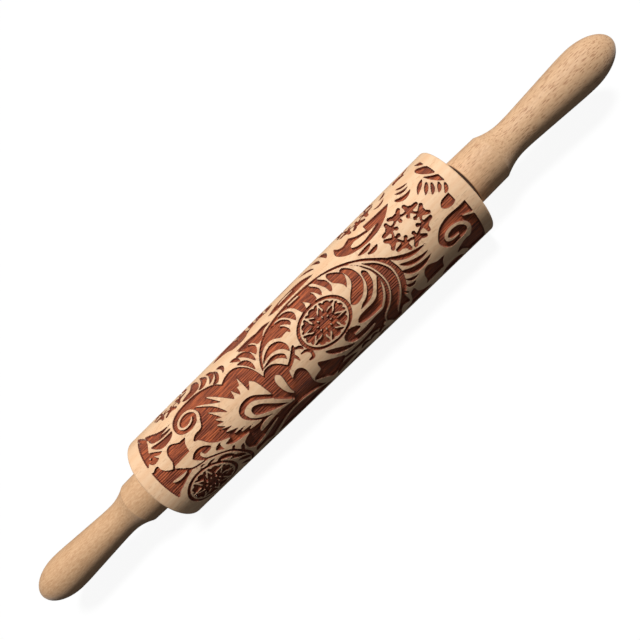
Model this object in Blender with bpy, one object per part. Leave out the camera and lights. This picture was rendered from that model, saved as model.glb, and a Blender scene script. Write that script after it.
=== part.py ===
"""Embossed rolling pin: a beech barrel that turns on a steel axle between two turned handles.

Metres, +Z up. The axle lies along X, the lowest line of the barrel is at Z = 0, and X = 0 is midway
between the tips of the handles. The pin is drawn with the handles pushed to the right as far as
they go, so the barrel sits a little left of the middle.
"""

import math

import bmesh
import bpy
from mathutils import Matrix, Vector
from mathutils.geometry import delaunay_2d_cdt

# The whole pin
overall_length = 0.380
barrel_length = 0.197
barrel_diameter = 0.0475

# Clearances and cuts
fit_gap = 0.0003
end_play = 0.0022
merge_distance = 0.000001

# Barrel
barrel_edge_round = 0.0012
barrel_bore_diameter = 0.0110

# Steel axle, glued into both handles
axle_diameter = 0.008
axle_chamfer = 0.0007
axle_grip_depth = 0.045
glue_pocket = 0.0015

# Nylon bushes, pressed flush into the ends of the barrel
bush_sleeve_diameter = 0.014
bush_length = 0.020
flange_diameter = 0.020
flange_thickness = 0.0015
bush_chamfer = 0.0005

# Thrust washers between the bushes and the handles
washer_diameter = 0.016
washer_thickness = 0.0008
washer_edge = 0.00015

# Handle, measured from the flat base that faces the barrel
collar_base_diameter = 0.0246
collar_shoulder_diameter = 0.0238
collar_length = 0.0173
base_edge_round = 0.0008
shoulder_round = 0.0009
neck_diameter = 0.0174
cove_length = 0.0131
bulge_diameter = 0.0217
tip_length = 0.0178
grip_bend_share = 0.18

# Ornament sunk into the barrel between two plain end bands. It is drawn on the unrolled skin, and
# each place in it is two shares: of the barrel's length from its left end, and of the height of
# one repeat from the line that faces the front.
engraving_depth = 0.0011
left_band = 0.0075
right_band = 0.0057
repeats_round = 2
facing_angle = math.radians(45)
settle_distance = 0.0002

# Medallions: a ring round a flake of crowned arms. Rosettes: a ring of lilies
arms_round = 8
medallion_length = 0.0279
medallion_height = 0.0208
medallion_ring = 0.0015
rosette_length = 0.0235
rosette_height = 0.0184
medallion_place_shares = ((0.568, 0.013), (0.113, 0.272))
rosette_place_shares = ((0.843, -0.052), (0.775, -0.420), (0.152, -0.418))
flake_arm_shares = ((0.47, -0.50), (0.62, -0.11), (0.90, -0.38), (0.90, 0.38), (0.62, 0.11))
lily_shares = ((0.40, 0), (0.97, -0.40), (0.80, 0), (0.97, 0.40))

# Great leaf, the flame left standing in it, and the paisley loop and veins over that
paisley_width = 0.0022
vein_width = 0.0019
great_leaf_shares = ((0.141, -0.168), (0.153, -0.236), (0.201, -0.267), (0.261, -0.233), (0.298, -0.162),
    (0.332, -0.192), (0.372, -0.121), (0.385, -0.011), (0.417, -0.031), (0.442, 0.039), (0.428, 0.125),
    (0.452, 0.099), (0.464, 0.154), (0.456, 0.268), (0.487, 0.415), (0.402, 0.442), (0.302, 0.415),
    (0.261, 0.362), (0.236, 0.295), (0.243, 0.206), (0.266, 0.184), (0.210, 0.125), (0.181, 0.013),
    (0.164, -0.028), (0.195, -0.055), (0.210, -0.111), (0.176, -0.092), (0.146, -0.129))
flame_shares = ((0.211, -0.190), (0.269, -0.011), (0.231, -0.099), (0.251, 0.000), (0.226, -0.003),
    (0.251, 0.056), (0.230, 0.070), (0.266, 0.121), (0.251, 0.139), (0.289, 0.164), (0.352, 0.161),
    (0.368, 0.121), (0.364, -0.020), (0.354, -0.058), (0.338, -0.015), (0.336, -0.129), (0.319, -0.031),
    (0.307, -0.096), (0.301, -0.039), (0.246, -0.188), (0.274, -0.082))
paisley_shares = ((0.389, 0.182), (0.362, 0.102), (0.332, 0.039), (0.307, 0.029), (0.289, 0.070),
    (0.294, 0.126), (0.317, 0.180), (0.342, 0.217))
vein_shares = (
    ((0.291, 0.402), (0.377, 0.228), (0.462, 0.405)),
    ((0.246, 0.330), (0.286, 0.314), (0.337, 0.259)),
)

# Arch round the upper medallion, with comma leaves that hang from it, fins on its back, and the
# fan and hem leaves at its feet
comma_width = 0.0031
comma_belly_share = 0.62
sweep_width = 0.0042
hem_leaf_width = 0.0030
fin_width = 0.0026
fan_width = 0.0026
arch_shares = ((0.391, -0.034), (0.405, -0.107), (0.435, -0.185), (0.467, -0.229), (0.503, -0.251),
    (0.553, -0.260), (0.603, -0.249), (0.653, -0.214), (0.704, -0.145), (0.749, -0.050), (0.769, 0.029),
    (0.769, 0.141), (0.749, 0.244), (0.739, 0.348), (0.706, 0.422), (0.679, 0.367), (0.691, 0.302),
    (0.716, 0.194), (0.724, 0.107), (0.724, 0.029), (0.717, -0.046), (0.693, -0.139), (0.638, -0.214),
    (0.553, -0.233), (0.470, -0.206), (0.422, -0.125), (0.397, -0.043))
left_comma_shares = (
    ((0.432, -0.169), (0.487, -0.194), (0.499, -0.092)),
    ((0.503, -0.236), (0.560, -0.235), (0.555, -0.126)),
)
top_comma_shares = (
    ((0.543, -0.239), (0.590, -0.228), (0.584, -0.123)),
    ((0.598, -0.236), (0.643, -0.214), (0.631, -0.092)),
)
right_comma_shares = (
    ((0.638, -0.201), (0.688, -0.134), (0.658, -0.040)),
    ((0.709, -0.060), (0.719, 0.107), (0.646, 0.113)),
)
sweep_shares = (
    ((0.736, 0.013), (0.711, 0.208), (0.626, 0.168)),
    ((0.739, 0.188), (0.668, 0.248), (0.575, 0.214)),
)
hem_leaf_shares = (
    ((0.693, 0.303), (0.613, 0.335), (0.541, 0.289)),
    ((0.586, 0.271), (0.538, 0.212), (0.523, 0.143)),
)
fin_shares = (
    ((0.765, -0.005), (0.794, 0.099), (0.849, 0.096)),
    ((0.756, 0.206), (0.764, 0.257), (0.781, 0.236)),
)
fan_shares = (
    ((0.399, -0.048), (0.432, -0.080), (0.453, 0.008)),
    ((0.404, -0.080), (0.452, -0.168), (0.470, -0.013)),
)
sprig_shares = ((0.459, 0.256), (0.487, 0.216), (0.495, 0.165), (0.546, 0.273), (0.525, 0.327),
    (0.490, 0.362), (0.472, 0.289))
knot_shares = ((0.752, 0.295), (0.767, 0.284), (0.782, 0.370), (0.804, 0.410), (0.754, 0.436),
    (0.719, 0.422))

# Wing, lens and cloud over the arch, and the leaves among them
lens_width = 0.0046
wing_leaf_width = 0.0021
small_leaf_width = 0.0024
broad_leaf_width = 0.0032
low_leaf_width = 0.0040
wing_shares = ((0.689, -0.255), (0.696, -0.314), (0.717, -0.265), (0.736, -0.287), (0.754, -0.245),
    (0.778, -0.224), (0.778, -0.268), (0.855, -0.257), (0.804, -0.165), (0.749, -0.154), (0.698, -0.209))
wing_leaf_shares = (
    ((0.727, -0.208), (0.754, -0.228), (0.807, -0.201)),
)
lens_shares = (
    ((0.480, -0.300), (0.553, -0.324), (0.625, -0.280)),
)
crest_leaf_shares = (
    ((0.588, -0.386), (0.615, -0.378), (0.635, -0.311)),
    ((0.650, -0.415), (0.678, -0.381), (0.671, -0.300)),
)
hump_leaf_shares = (
    ((0.354, -0.193), (0.384, -0.161), (0.385, -0.078)),
    ((0.374, -0.263), (0.422, -0.248), (0.406, -0.146)),
)
hump_crest_shares = (
    ((0.372, -0.273), (0.422, -0.276), (0.479, -0.251)),
)
top_leaf_shares = (
    ((0.225, -0.399), (0.256, -0.308), (0.204, -0.281)),
    ((0.303, -0.295), (0.329, -0.263), (0.304, -0.206)),
)
cloud_shares = ((0.302, -0.381), (0.352, -0.340), (0.367, -0.314), (0.402, -0.310), (0.427, -0.346),
    (0.487, -0.357), (0.503, -0.389), (0.472, -0.456), (0.422, -0.482), (0.362, -0.482), (0.322, -0.429))
low_leaf_shares = (
    ((0.500, 0.399), (0.528, 0.319), (0.573, 0.359)),
    ((0.838, 0.426), (0.864, 0.335), (0.901, 0.426)),
)

# Plume, buds and vine at the left, scroll and leaves at the right
vine_width = 0.0015
volute_width = 0.0015
bud_step_share = (0.709, 0.335)
plume_shares = ((0.035, -0.375), (0.060, -0.327), (0.065, -0.268), (0.060, -0.182), (0.090, -0.130),
    (0.062, -0.094), (0.035, -0.111))
feather_shares = (
    ((0.058, -0.316), (0.090, -0.235), (0.141, -0.227)),
    ((0.066, -0.204), (0.090, -0.147), (0.135, -0.169)),
)
side_leaf_shares = ((0.035, -0.062), (0.059, -0.072), (0.068, -0.016), (0.106, 0.062), (0.115, 0.086),
    (0.073, 0.125), (0.035, 0.151))
bud_shares = ((0.083, 0.008), (0.093, -0.074), (0.111, -0.119), (0.156, -0.086), (0.141, 0.000))
vine_shares = ((0.148, 0.094), (0.181, 0.139), (0.206, 0.186), (0.222, 0.308), (0.216, 0.375),
    (0.201, 0.442))
vine_leaf_shares = (
    ((0.174, 0.164), (0.193, 0.166), (0.206, 0.233)),
    ((0.190, 0.359), (0.204, 0.375), (0.199, 0.434)),
)
scroll_shares = ((0.975, 0.071), (0.925, 0.064), (0.889, 0.094), (0.870, 0.155), (0.877, 0.217),
    (0.897, 0.247), (0.920, 0.249), (0.910, 0.287), (0.891, 0.324), (0.911, 0.355), (0.927, 0.429),
    (0.975, 0.429))
volute_shares = ((0.910, 0.206), (0.890, 0.178), (0.901, 0.145), (0.930, 0.153), (0.944, 0.206),
    (0.933, 0.260))

# How finely round shapes are faceted
facets_per_repeat = 20
handle_facets = 32
fitting_facets = 20
edge_steps = 2
cove_steps = 6
grip_steps = 6
tip_steps = 8
leaf_steps = 3
ring_steps = 16
flat_angle = math.radians(1)
smooth_angle = math.radians(35)

# Derived sizes and places
barrel_facets = repeats_round * facets_per_repeat
facet_angle = 2 * math.pi / barrel_facets
facet_height = math.pi * barrel_diameter / barrel_facets
repeat_height = math.pi * barrel_diameter / repeats_round
washer_room = washer_thickness + 2 * fit_gap
handle_length = (overall_length - barrel_length - end_play) / 2 - washer_room
barrel_middle = -end_play / 2
barrel_left = barrel_middle - barrel_length / 2
barrel_right = barrel_middle + barrel_length / 2
left_base = -overall_length / 2 + handle_length
right_base = overall_length / 2 - handle_length
axle_bore_diameter = axle_diameter + 2 * fit_gap
axle_half_length = right_base + axle_grip_depth
axis_height = barrel_diameter / 2


def clear_scene():
    """Empty the scene of every object that it holds."""
    for thing in list(bpy.data.objects):
        bpy.data.objects.remove(thing, do_unlink=True)


def linear(channel):
    """One sRGB channel, 0 to 255, as the linear value that a shader takes."""
    value = channel / 255
    if value <= 0.04045:
        return value / 12.92
    return ((value + 0.055) / 1.055) ** 2.4


def finish(name, colour, roughness, metallic=0.0):
    """A plain material from an sRGB colour."""
    material = bpy.data.materials.new(name)
    material.use_nodes = True
    shader = material.node_tree.nodes["Principled BSDF"]
    shader.inputs["Base Color"].default_value = (*[linear(channel) for channel in colour], 1)
    shader.inputs["Roughness"].default_value = roughness
    shader.inputs["Metallic"].default_value = metallic
    material.diffuse_color = shader.inputs["Base Color"].default_value
    return material


def round_corner(before, corner, after, radius, steps):
    """Points of the arc that rounds a corner between two straight runs of an outline."""
    corner = Vector(corner)
    towards_before = (Vector(before) - corner).normalized()
    towards_after = (Vector(after) - corner).normalized()
    half_angle = towards_before.angle(towards_after) / 2
    centre = corner + (towards_before + towards_after).normalized() * (radius / math.sin(half_angle))
    start = corner + towards_before * (radius / math.tan(half_angle)) - centre
    sweep = start.angle_signed(corner + towards_after * (radius / math.tan(half_angle)) - centre)
    points = []
    for step in range(steps + 1):
        turn = Matrix.Rotation(-sweep * step / steps, 2)
        points.append(tuple(centre + turn @ start))
    return points


def turn_outline(shape, outline, facets, closed):
    """Turn an outline of (along, radius) points about X, as faces of a mesh in the making.

    The facets stand just outside the true circle, so their flats lie at the radii of the outline,
    and one flat faces straight down. A closed outline makes a ring, an open one a strip.
    """
    half_facet = math.pi / facets
    ring = []
    for along, radius in outline:
        out = radius / math.cos(half_facet)
        ring.append(shape.verts.new((along, out * math.sin(half_facet), -out * math.cos(half_facet))))
    edges = [shape.edges.new(pair) for pair in zip(ring, ring[1:])]
    if closed:
        edges.append(shape.edges.new((ring[-1], ring[0])))
    bmesh.ops.spin(
        shape, geom=ring + edges, cent=(0, 0, 0), axis=(1, 0, 0), angle=2 * math.pi, steps=facets
    )
    bmesh.ops.remove_doubles(shape, verts=shape.verts, dist=merge_distance)


def finished_mesh(name, shape):
    """Turn a mesh in the making into a smooth shaded mesh with sharp edges where it bends hard."""
    bmesh.ops.recalc_face_normals(shape, faces=shape.faces)
    mesh = bpy.data.meshes.new(name)
    shape.to_mesh(mesh)
    shape.free()
    mesh.shade_smooth()
    mesh.set_sharp_from_angle(angle=smooth_angle)
    return mesh


def turned(name, outline, facets, closed):
    """Mesh of an outline turned about X. An open outline starts and ends on the axis."""
    shape = bmesh.new()
    turn_outline(shape, outline, facets, closed)
    return finished_mesh(name, shape)


def place(name, mesh, material, parent, along=0.0, turned_round=False):
    """Put a mesh on the axle line as a named piece."""
    if not mesh.materials:
        mesh.materials.append(material)
    piece = bpy.data.objects.new(name, mesh)
    bpy.context.scene.collection.objects.link(piece)
    piece.parent = parent
    piece.location.x = along
    if turned_round:
        piece.rotation_euler.z = math.pi
    return piece


def carrier(name, parent=None, height=0.0):
    """An empty on the axle line that carries the pieces of one moving body."""
    empty = bpy.data.objects.new(name, None)
    bpy.context.scene.collection.objects.link(empty)
    empty.parent = parent
    empty.location.z = height
    return empty


def barrel_outline():
    """Section of the barrel without its outer face: rounded rims, flange and sleeve seats, bore."""
    half = barrel_length / 2
    outer = barrel_diameter / 2
    flange_seat = flange_diameter / 2 + fit_gap
    sleeve_seat = bush_sleeve_diameter / 2 + fit_gap
    bore = barrel_bore_diameter / 2
    flange_floor = half - flange_thickness - fit_gap
    sleeve_floor = half - bush_length - fit_gap
    rim = round_corner((0, outer), (half, outer), (half, flange_seat), barrel_edge_round, edge_steps)
    right_side = rim + [
        (half, flange_seat),
        (flange_floor, flange_seat),
        (flange_floor, sleeve_seat),
        (sleeve_floor, sleeve_seat),
        (sleeve_floor, bore),
    ]
    left_side = [(-along, radius) for along, radius in reversed(right_side)]
    return right_side + left_side


def spot(place_share):
    """A place of the ornament in metres, from the barrel's middle and from the line at the front."""
    across, around = place_share
    return Vector(((across - 1 / 2) * barrel_length, around * repeat_height))


def outline_through(place_shares):
    """A closed outline with straight sides between its places."""
    return [spot(place_share) for place_share in place_shares]


def oval(centre, length, height):
    """Outline of a ring's edge."""
    points = []
    for step in range(ring_steps):
        turn = 2 * math.pi * step / ring_steps
        points.append(centre + Vector((length / 2 * math.cos(turn), height / 2 * math.sin(turn))))
    return points


def arm(centre, length, height, arm_shares, number):
    """One arm of a pattern round a centre: shares of the reach, and of the turn between two arms."""
    points = []
    for reach_share, turn_share in arm_shares:
        turn = 2 * math.pi * (number + turn_share) / arms_round
        reach = Vector((length / 2 * math.cos(turn), height / 2 * math.sin(turn)))
        points.append(centre + reach * reach_share)
    return points


def leaf(root, bend, tip, width, belly_share):
    """Outline of a pointed leaf along a bent middle line, widest at its belly."""
    near_side, far_side = [], []
    for step in range(1, leaf_steps):
        share = step / leaf_steps
        start = root.lerp(bend, share)
        end = bend.lerp(tip, share)
        swell = math.sin(math.pi * share ** (math.log(1 / 2) / math.log(belly_share)))
        aside = (end - start).orthogonal().normalized() * (width / 2 * swell)
        near_side.append(start.lerp(end, share) + aside)
        far_side.append(start.lerp(end, share) - aside)
    return [root] + near_side + [tip] + far_side[::-1]


def leaf_row(key_shares, count, width, belly_share=1 / 2):
    """Leaves in a row that change step by step from the first key leaf to the last."""
    first = outline_through(key_shares[0])
    last = outline_through(key_shares[-1])
    row = []
    for step in range(count):
        share = step / max(count - 1, 1)
        places = [start.lerp(end, share) for start, end in zip(first, last)]
        row.append(leaf(*places, width, belly_share))
    return row


def ribbon(place_shares, width):
    """Outline of a band of one width along a run of places."""
    middle = outline_through(place_shares)
    near_side, far_side = [], []
    for before, here, after in zip(middle[:1] + middle, middle, middle[1:] + middle[-1:]):
        aside = (after - before).orthogonal().normalized() * (width / 2)
        near_side.append(here + aside)
        far_side.append(here - aside)
    return near_side + far_side[::-1]


def medallion(centre):
    """Layers of a medallion: the ring's groove, the land inside it, and the flake."""
    land_length = medallion_length - 2 * medallion_ring
    land_height = medallion_height - 2 * medallion_ring
    flake = []
    for number in range(arms_round):
        flake += arm(centre, land_length, land_height, flake_arm_shares, number)
    return [
        (True, [oval(centre, medallion_length, medallion_height)]),
        (False, [oval(centre, land_length, land_height)]),
        (True, [flake]),
    ]


def rosette(centre):
    """Layer of a rosette: lilies that point outwards in a ring."""
    numbers = range(arms_round)
    return [(True, [arm(centre, rosette_length, rosette_height, lily_shares, number) for number in numbers])]


def great_leaf():
    """Layers of the great leaf and what stands in it."""
    return [
        (True, [outline_through(great_leaf_shares)]),
        (False, [outline_through(flame_shares)] + leaf_row(vein_shares, 2, vein_width)),
        (True, [ribbon(paisley_shares, paisley_width)]),
    ]


def arch():
    """Layer of the arch with its commas, fins, fan and hem."""
    commas = leaf_row(left_comma_shares, 4, comma_width, comma_belly_share)
    commas += leaf_row(top_comma_shares, 3, comma_width, comma_belly_share)
    commas += leaf_row(right_comma_shares, 3, comma_width, comma_belly_share)
    feet = leaf_row(sweep_shares, 2, sweep_width, comma_belly_share)
    feet += leaf_row(hem_leaf_shares, 2, hem_leaf_width)
    feet += leaf_row(fan_shares, 2, fan_width)
    feet += [outline_through(sprig_shares), outline_through(knot_shares)]
    return [(True, [outline_through(arch_shares)] + commas + feet + leaf_row(fin_shares, 4, fin_width))]


def field_over_arch():
    """Layers of the wing, lens and cloud, and of the leaves among them."""
    sunk = [outline_through(wing_shares), outline_through(cloud_shares)]
    sunk += leaf_row(lens_shares, 1, lens_width)
    sunk += leaf_row(crest_leaf_shares, 3, small_leaf_width)
    sunk += leaf_row(hump_leaf_shares, 3, small_leaf_width)
    sunk += leaf_row(hump_crest_shares, 1, broad_leaf_width)
    sunk += leaf_row(top_leaf_shares, 4, broad_leaf_width)
    sunk += leaf_row(low_leaf_shares, 2, low_leaf_width)
    standing = leaf_row(wing_leaf_shares, 1, wing_leaf_width)
    return [(True, sunk), (False, standing)]


def side_groups():
    """Layers of what grows out of the two end bands."""
    bud = outline_through(bud_shares)
    bud_step = spot(bud_step_share) - spot((0, 0))
    sunk = [outline_through(plume_shares), outline_through(side_leaf_shares), outline_through(scroll_shares)]
    sunk += [bud, [point + bud_step for point in bud], ribbon(vine_shares, vine_width)]
    sunk += leaf_row(feather_shares, 3, small_leaf_width)
    sunk += leaf_row(vine_leaf_shares, 3, small_leaf_width)
    return [(True, sunk), (False, [ribbon(volute_shares, volute_width)])]


def ornament():
    """Outlines of one repeat, counter-clockwise and in the order they are laid, and which are sunk."""
    layers = great_leaf() + arch() + field_over_arch() + side_groups()
    for place_share in medallion_place_shares:
        layers += medallion(spot(place_share))
    for place_share in rosette_place_shares:
        layers += rosette(spot(place_share))
    laid = []
    for sunk, outlines in layers:
        for outline in outlines:
            laid.append((sunk, outline if signed_area(outline) > 0 else outline[::-1]))
    return laid


def signed_area(outline):
    """Area inside an outline, negative where it runs clockwise."""
    pairs = zip(outline, outline[1:] + outline[:1])
    return sum(start.cross(end) for start, end in pairs) / 2


def settled(point):
    """A point held between the end bands, and put on a facet's edge where it all but touches one."""
    half = barrel_length / 2
    edge = (round(point.y / facet_height - 1 / 2) + 1 / 2) * facet_height
    around = edge if abs(point.y - edge) < settle_distance else point.y
    return Vector((min(max(point.x, left_band - half), half - right_band), around))


def facet_grid():
    """Corners and lines of the facets of one repeat, unrolled, from end to end of the outer face."""
    half = barrel_length / 2 - barrel_edge_round
    corners, lines = [], []
    for number in range(facets_per_repeat + 1):
        around = (number - facets_per_repeat // 2 - 1 / 2) * facet_height
        corners += [Vector((-half, around)), Vector((half, around))]
        lines.append((2 * number, 2 * number + 1))
        if number:
            lines += [(2 * number - 2, 2 * number), (2 * number - 1, 2 * number + 1)]
    return corners, lines


def drawn_repeat():
    """One repeat of the unrolled outer face as triangles, each with whether it is sunk.

    The outlines are laid over the facets' lines, with the copies above and below that reach in,
    and the last outline laid over a triangle decides.
    """
    points, lines = facet_grid()
    lowest, highest = points[0].y, points[-1].y
    faces, sinks = [], []
    for sunk, outline in ornament():
        for copy in (-1, 0, 1):
            moved = [settled(point + Vector((0, copy * repeat_height))) for point in outline]
            if max(point.y for point in moved) >= lowest and min(point.y for point in moved) <= highest:
                faces.append(list(range(len(points), len(points) + len(moved))))
                sinks.append(sunk)
                points += moved
    drawn = delaunay_2d_cdt(points, lines, faces, 1, merge_distance)
    corners, triangles, laid_over = drawn[0], drawn[2], drawn[5]
    kept = []
    for triangle, laid in zip(triangles, laid_over):
        middle = sum(corners[corner].y for corner in triangle) / len(triangle)
        if lowest < middle < highest:
            kept.append((triangle, bool(laid) and sinks[max(laid)]))
    return corners, kept


def wrapped(point, repeat):
    """Where a point of the unrolled face lies on the facets of the barrel."""
    angle = point.y / (barrel_diameter / 2)
    radius = barrel_diameter / 2 / math.cos(math.remainder(angle, facet_angle))
    turn = facing_angle + angle + 2 * math.pi * repeat / repeats_round
    return point.x, -radius * math.sin(turn), radius * math.cos(turn)


def engraved_barrel():
    """Mesh of the barrel: its turned section closed by the engraved outer face.

    The drawing is wrapped round once for each repeat and welded to the rims. Then the sunk faces
    are pushed in towards the axis by the depth of the engraving.
    """
    shape = bmesh.new()
    sunk_mark = shape.faces.layers.int.new("sunk")
    turn_outline(shape, barrel_outline(), barrel_facets, closed=False)
    points, triangles = drawn_repeat()
    for repeat in range(repeats_round):
        corners = [shape.verts.new(wrapped(point, repeat)) for point in points]
        for triangle, sunk in triangles:
            shape.faces.new([corners[corner] for corner in triangle])[sunk_mark] = sunk
    loose = [corner for corner in shape.verts if not corner.link_faces]
    bmesh.ops.delete(shape, geom=loose, context="VERTS")
    bmesh.ops.remove_doubles(shape, verts=shape.verts, dist=merge_distance)
    ground = [face for face in shape.faces if face[sunk_mark]]
    pushed = bmesh.ops.extrude_face_region(shape, geom=ground)["geom"]
    floor = [part for part in pushed if isinstance(part, bmesh.types.BMVert)]
    bmesh.ops.delete(shape, geom=[face for face in ground if face.is_valid], context="FACES_ONLY")
    inward = 1 - 2 * engraving_depth / barrel_diameter
    bmesh.ops.scale(shape, vec=(1, inward, inward), verts=floor)
    bmesh.ops.dissolve_limit(shape, angle_limit=flat_angle, verts=shape.verts, edges=shape.edges)
    return finished_mesh("barrel", shape)


def bush_outline():
    """Ring section of a flanged bush, with the outer face of its flange at zero."""
    bore = axle_bore_diameter / 2
    sleeve = bush_sleeve_diameter / 2
    flange = flange_diameter / 2
    return [
        (0, bore),
        (0, flange - bush_chamfer),
        (-bush_chamfer, flange),
        (-flange_thickness, flange),
        (-flange_thickness, sleeve),
        (bush_chamfer - bush_length, sleeve),
        (-bush_length, sleeve - bush_chamfer),
        (-bush_length, bore),
    ]


def washer_outline():
    """Ring section of a thrust washer, centred on its own thickness."""
    bore = axle_bore_diameter / 2
    outer = washer_diameter / 2
    half = washer_thickness / 2
    return [
        (-half, bore),
        (half, bore),
        (half, outer - washer_edge),
        (half - washer_edge, outer),
        (washer_edge - half, outer),
        (-half, outer - washer_edge),
    ]


def axle_outline():
    """Half section of the axle, chamfered at both ends."""
    radius = axle_diameter / 2
    return [
        (-axle_half_length, 0),
        (-axle_half_length, radius - axle_chamfer),
        (axle_chamfer - axle_half_length, radius),
        (axle_half_length - axle_chamfer, radius),
        (axle_half_length, radius - axle_chamfer),
        (axle_half_length, 0),
    ]


def eased(share, bend_share):
    """A ramp from 0 to 1 that is straight in the middle and bends in and out at its ends."""
    slope = 1 / (1 - bend_share)
    if share < bend_share:
        return slope * share ** 2 / (2 * bend_share)
    if share > 1 - bend_share:
        return 1 - slope * (1 - share) ** 2 / (2 * bend_share)
    return slope * (share - bend_share / 2)


def cove_points():
    """The hollow curve from the collar's shoulder down to the neck: a parabola."""
    shoulder = collar_shoulder_diameter / 2
    neck = neck_diameter / 2
    points = []
    for step in range(1, cove_steps + 1):
        left_over = 1 - step / cove_steps
        along = collar_length + cove_length * step / cove_steps
        points.append((along, neck + (shoulder - neck) * left_over ** 2))
    return points


def grip_points():
    """The grip, which swells in a nearly straight taper from the neck to the bulge."""
    neck = neck_diameter / 2
    bulge = bulge_diameter / 2
    start = collar_length + cove_length
    length = handle_length - tip_length - start
    points = []
    for step in range(1, grip_steps + 1):
        share = step / grip_steps
        points.append((start + length * share, neck + (bulge - neck) * eased(share, grip_bend_share)))
    return points


def tip_points():
    """The rounded end: a quarter of an ellipse from the bulge to the axis."""
    start = handle_length - tip_length
    points = []
    for step in range(1, tip_steps):
        angle = math.pi / 2 * step / tip_steps
        points.append((start + tip_length * math.sin(angle), bulge_diameter / 2 * math.cos(angle)))
    points.append((handle_length, 0))
    return points


def handle_outline():
    """Half section of a handle, from the floor of its axle bore round to its tip."""
    bore = axle_bore_diameter / 2
    bore_floor = axle_grip_depth + glue_pocket
    base = collar_base_diameter / 2
    shoulder = (collar_length, collar_shoulder_diameter / 2)
    cove = cove_points()
    outline = [(bore_floor, 0), (bore_floor, bore), (0, bore)]
    outline += round_corner((0, bore), (0, base), shoulder, base_edge_round, edge_steps)
    outline += round_corner((0, base), shoulder, cove[0], shoulder_round, edge_steps)
    return outline + cove + grip_points() + tip_points()


def build():
    """Make every piece and set it on the axle line."""
    beech = finish("barrel_beech", (226, 188, 143), 0.55)
    turned_beech = finish("handle_beech", (222, 178, 130), 0.5)
    steel = finish("axle_steel", (176, 178, 182), 0.28, 1.0)
    nylon = finish("bush_nylon", (232, 230, 222), 0.42)
    zinc = finish("washer_steel", (160, 162, 166), 0.35, 1.0)

    pin = carrier("pin_line", height=axis_height)
    end_slide = carrier("end_slide", pin)
    handle_spin = carrier("handle_spin", end_slide)

    place("barrel", engraved_barrel(), beech, pin, barrel_middle)

    bush = turned("bush", bush_outline(), fitting_facets, closed=True)
    place("left_bush", bush, nylon, pin, barrel_left, turned_round=True)
    place("right_bush", bush, nylon, pin, barrel_right)

    washer = turned("washer", washer_outline(), fitting_facets, closed=True)
    beside_base = fit_gap + washer_thickness / 2
    place("left_washer", washer, zinc, end_slide, left_base + beside_base)
    place("right_washer", washer, zinc, end_slide, right_base - beside_base)

    axle = turned("axle_rod", axle_outline(), fitting_facets, closed=False)
    place("axle_rod", axle, steel, handle_spin)

    handle = turned("handle", handle_outline(), handle_facets, closed=False)
    place("left_handle", handle, turned_beech, handle_spin, left_base, turned_round=True)
    place("right_handle", handle, turned_beech, handle_spin, right_base)


clear_scene()
build()
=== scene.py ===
"""The embossed rolling pin as it looks: engraved beech barrel, steel axle, nylon bushes, turned handles.

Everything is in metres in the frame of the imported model: X along the axle, Z up from the surface that
the barrel lies on. The sections follow the pin as it is put together.
"""

import math

import bmesh
import bpy
import numpy as np
from mathutils import Matrix, Vector
from mathutils.geometry import delaunay_2d_cdt


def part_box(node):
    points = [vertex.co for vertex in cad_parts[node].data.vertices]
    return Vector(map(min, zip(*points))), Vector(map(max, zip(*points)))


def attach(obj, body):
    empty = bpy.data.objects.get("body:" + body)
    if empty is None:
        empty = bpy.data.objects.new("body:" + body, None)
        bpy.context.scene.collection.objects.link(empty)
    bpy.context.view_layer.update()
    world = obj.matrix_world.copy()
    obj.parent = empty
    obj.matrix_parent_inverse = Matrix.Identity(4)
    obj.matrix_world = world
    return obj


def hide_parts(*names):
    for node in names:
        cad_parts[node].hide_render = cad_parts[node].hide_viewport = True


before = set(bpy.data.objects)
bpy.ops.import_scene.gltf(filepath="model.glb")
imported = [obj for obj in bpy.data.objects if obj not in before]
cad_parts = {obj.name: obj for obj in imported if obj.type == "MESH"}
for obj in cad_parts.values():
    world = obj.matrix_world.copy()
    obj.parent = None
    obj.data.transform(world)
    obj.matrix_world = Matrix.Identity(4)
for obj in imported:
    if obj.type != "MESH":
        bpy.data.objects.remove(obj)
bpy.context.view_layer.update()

MM = 0.001

# The axle
# A length of bright drawn steel rod, chamfered at both ends. It is glued into both handles and the
# barrel turns on it. Only a sliver of it shows, in the gap beside the right handle.

axle_low, axle_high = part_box("axle_rod")
axis_height = (axle_low.z + axle_high.z) / 2
axle_radius = (axle_high.z - axle_low.z) / 2
axle_chamfer = 0.7 * MM
running_gap = 0.3 * MM


def linear(red, green, blue):
    """An sRGB colour, 0 to 255, as the linear colour that a shader takes."""
    shares = np.array([red, green, blue]) / 255
    bent = np.where(shares <= 0.04045, shares / 12.92, ((shares + 0.055) / 1.055) ** 2.4)
    return (*bent.tolist(), 1.0)


def add(tree, kind, inputs=None, **settings):
    """A new shader node. Its inputs are given by name or number, as values or as other sockets."""
    made = tree.nodes.new("ShaderNode" + kind)
    for name, value in settings.items():
        setattr(made, name, value)
    for key, value in (inputs or {}).items():
        if isinstance(value, bpy.types.NodeSocket):
            tree.links.new(value, made.inputs[key])
        else:
            made.inputs[key].default_value = value
    return made


def blend_of(tree, share, first, second):
    """A colour between two, by a share from 0 to 1."""
    return add(tree, "Mix", {0: share, 6: first, 7: second}, data_type="RGBA").outputs[2]


def worked(tree, operation, *values):
    """The answer of a Math node."""
    return add(tree, "Math", dict(enumerate(values)), operation=operation).outputs[0]


def product(tree, first, second):
    """The product of two values."""
    return worked(tree, "MULTIPLY", first, second)


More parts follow.
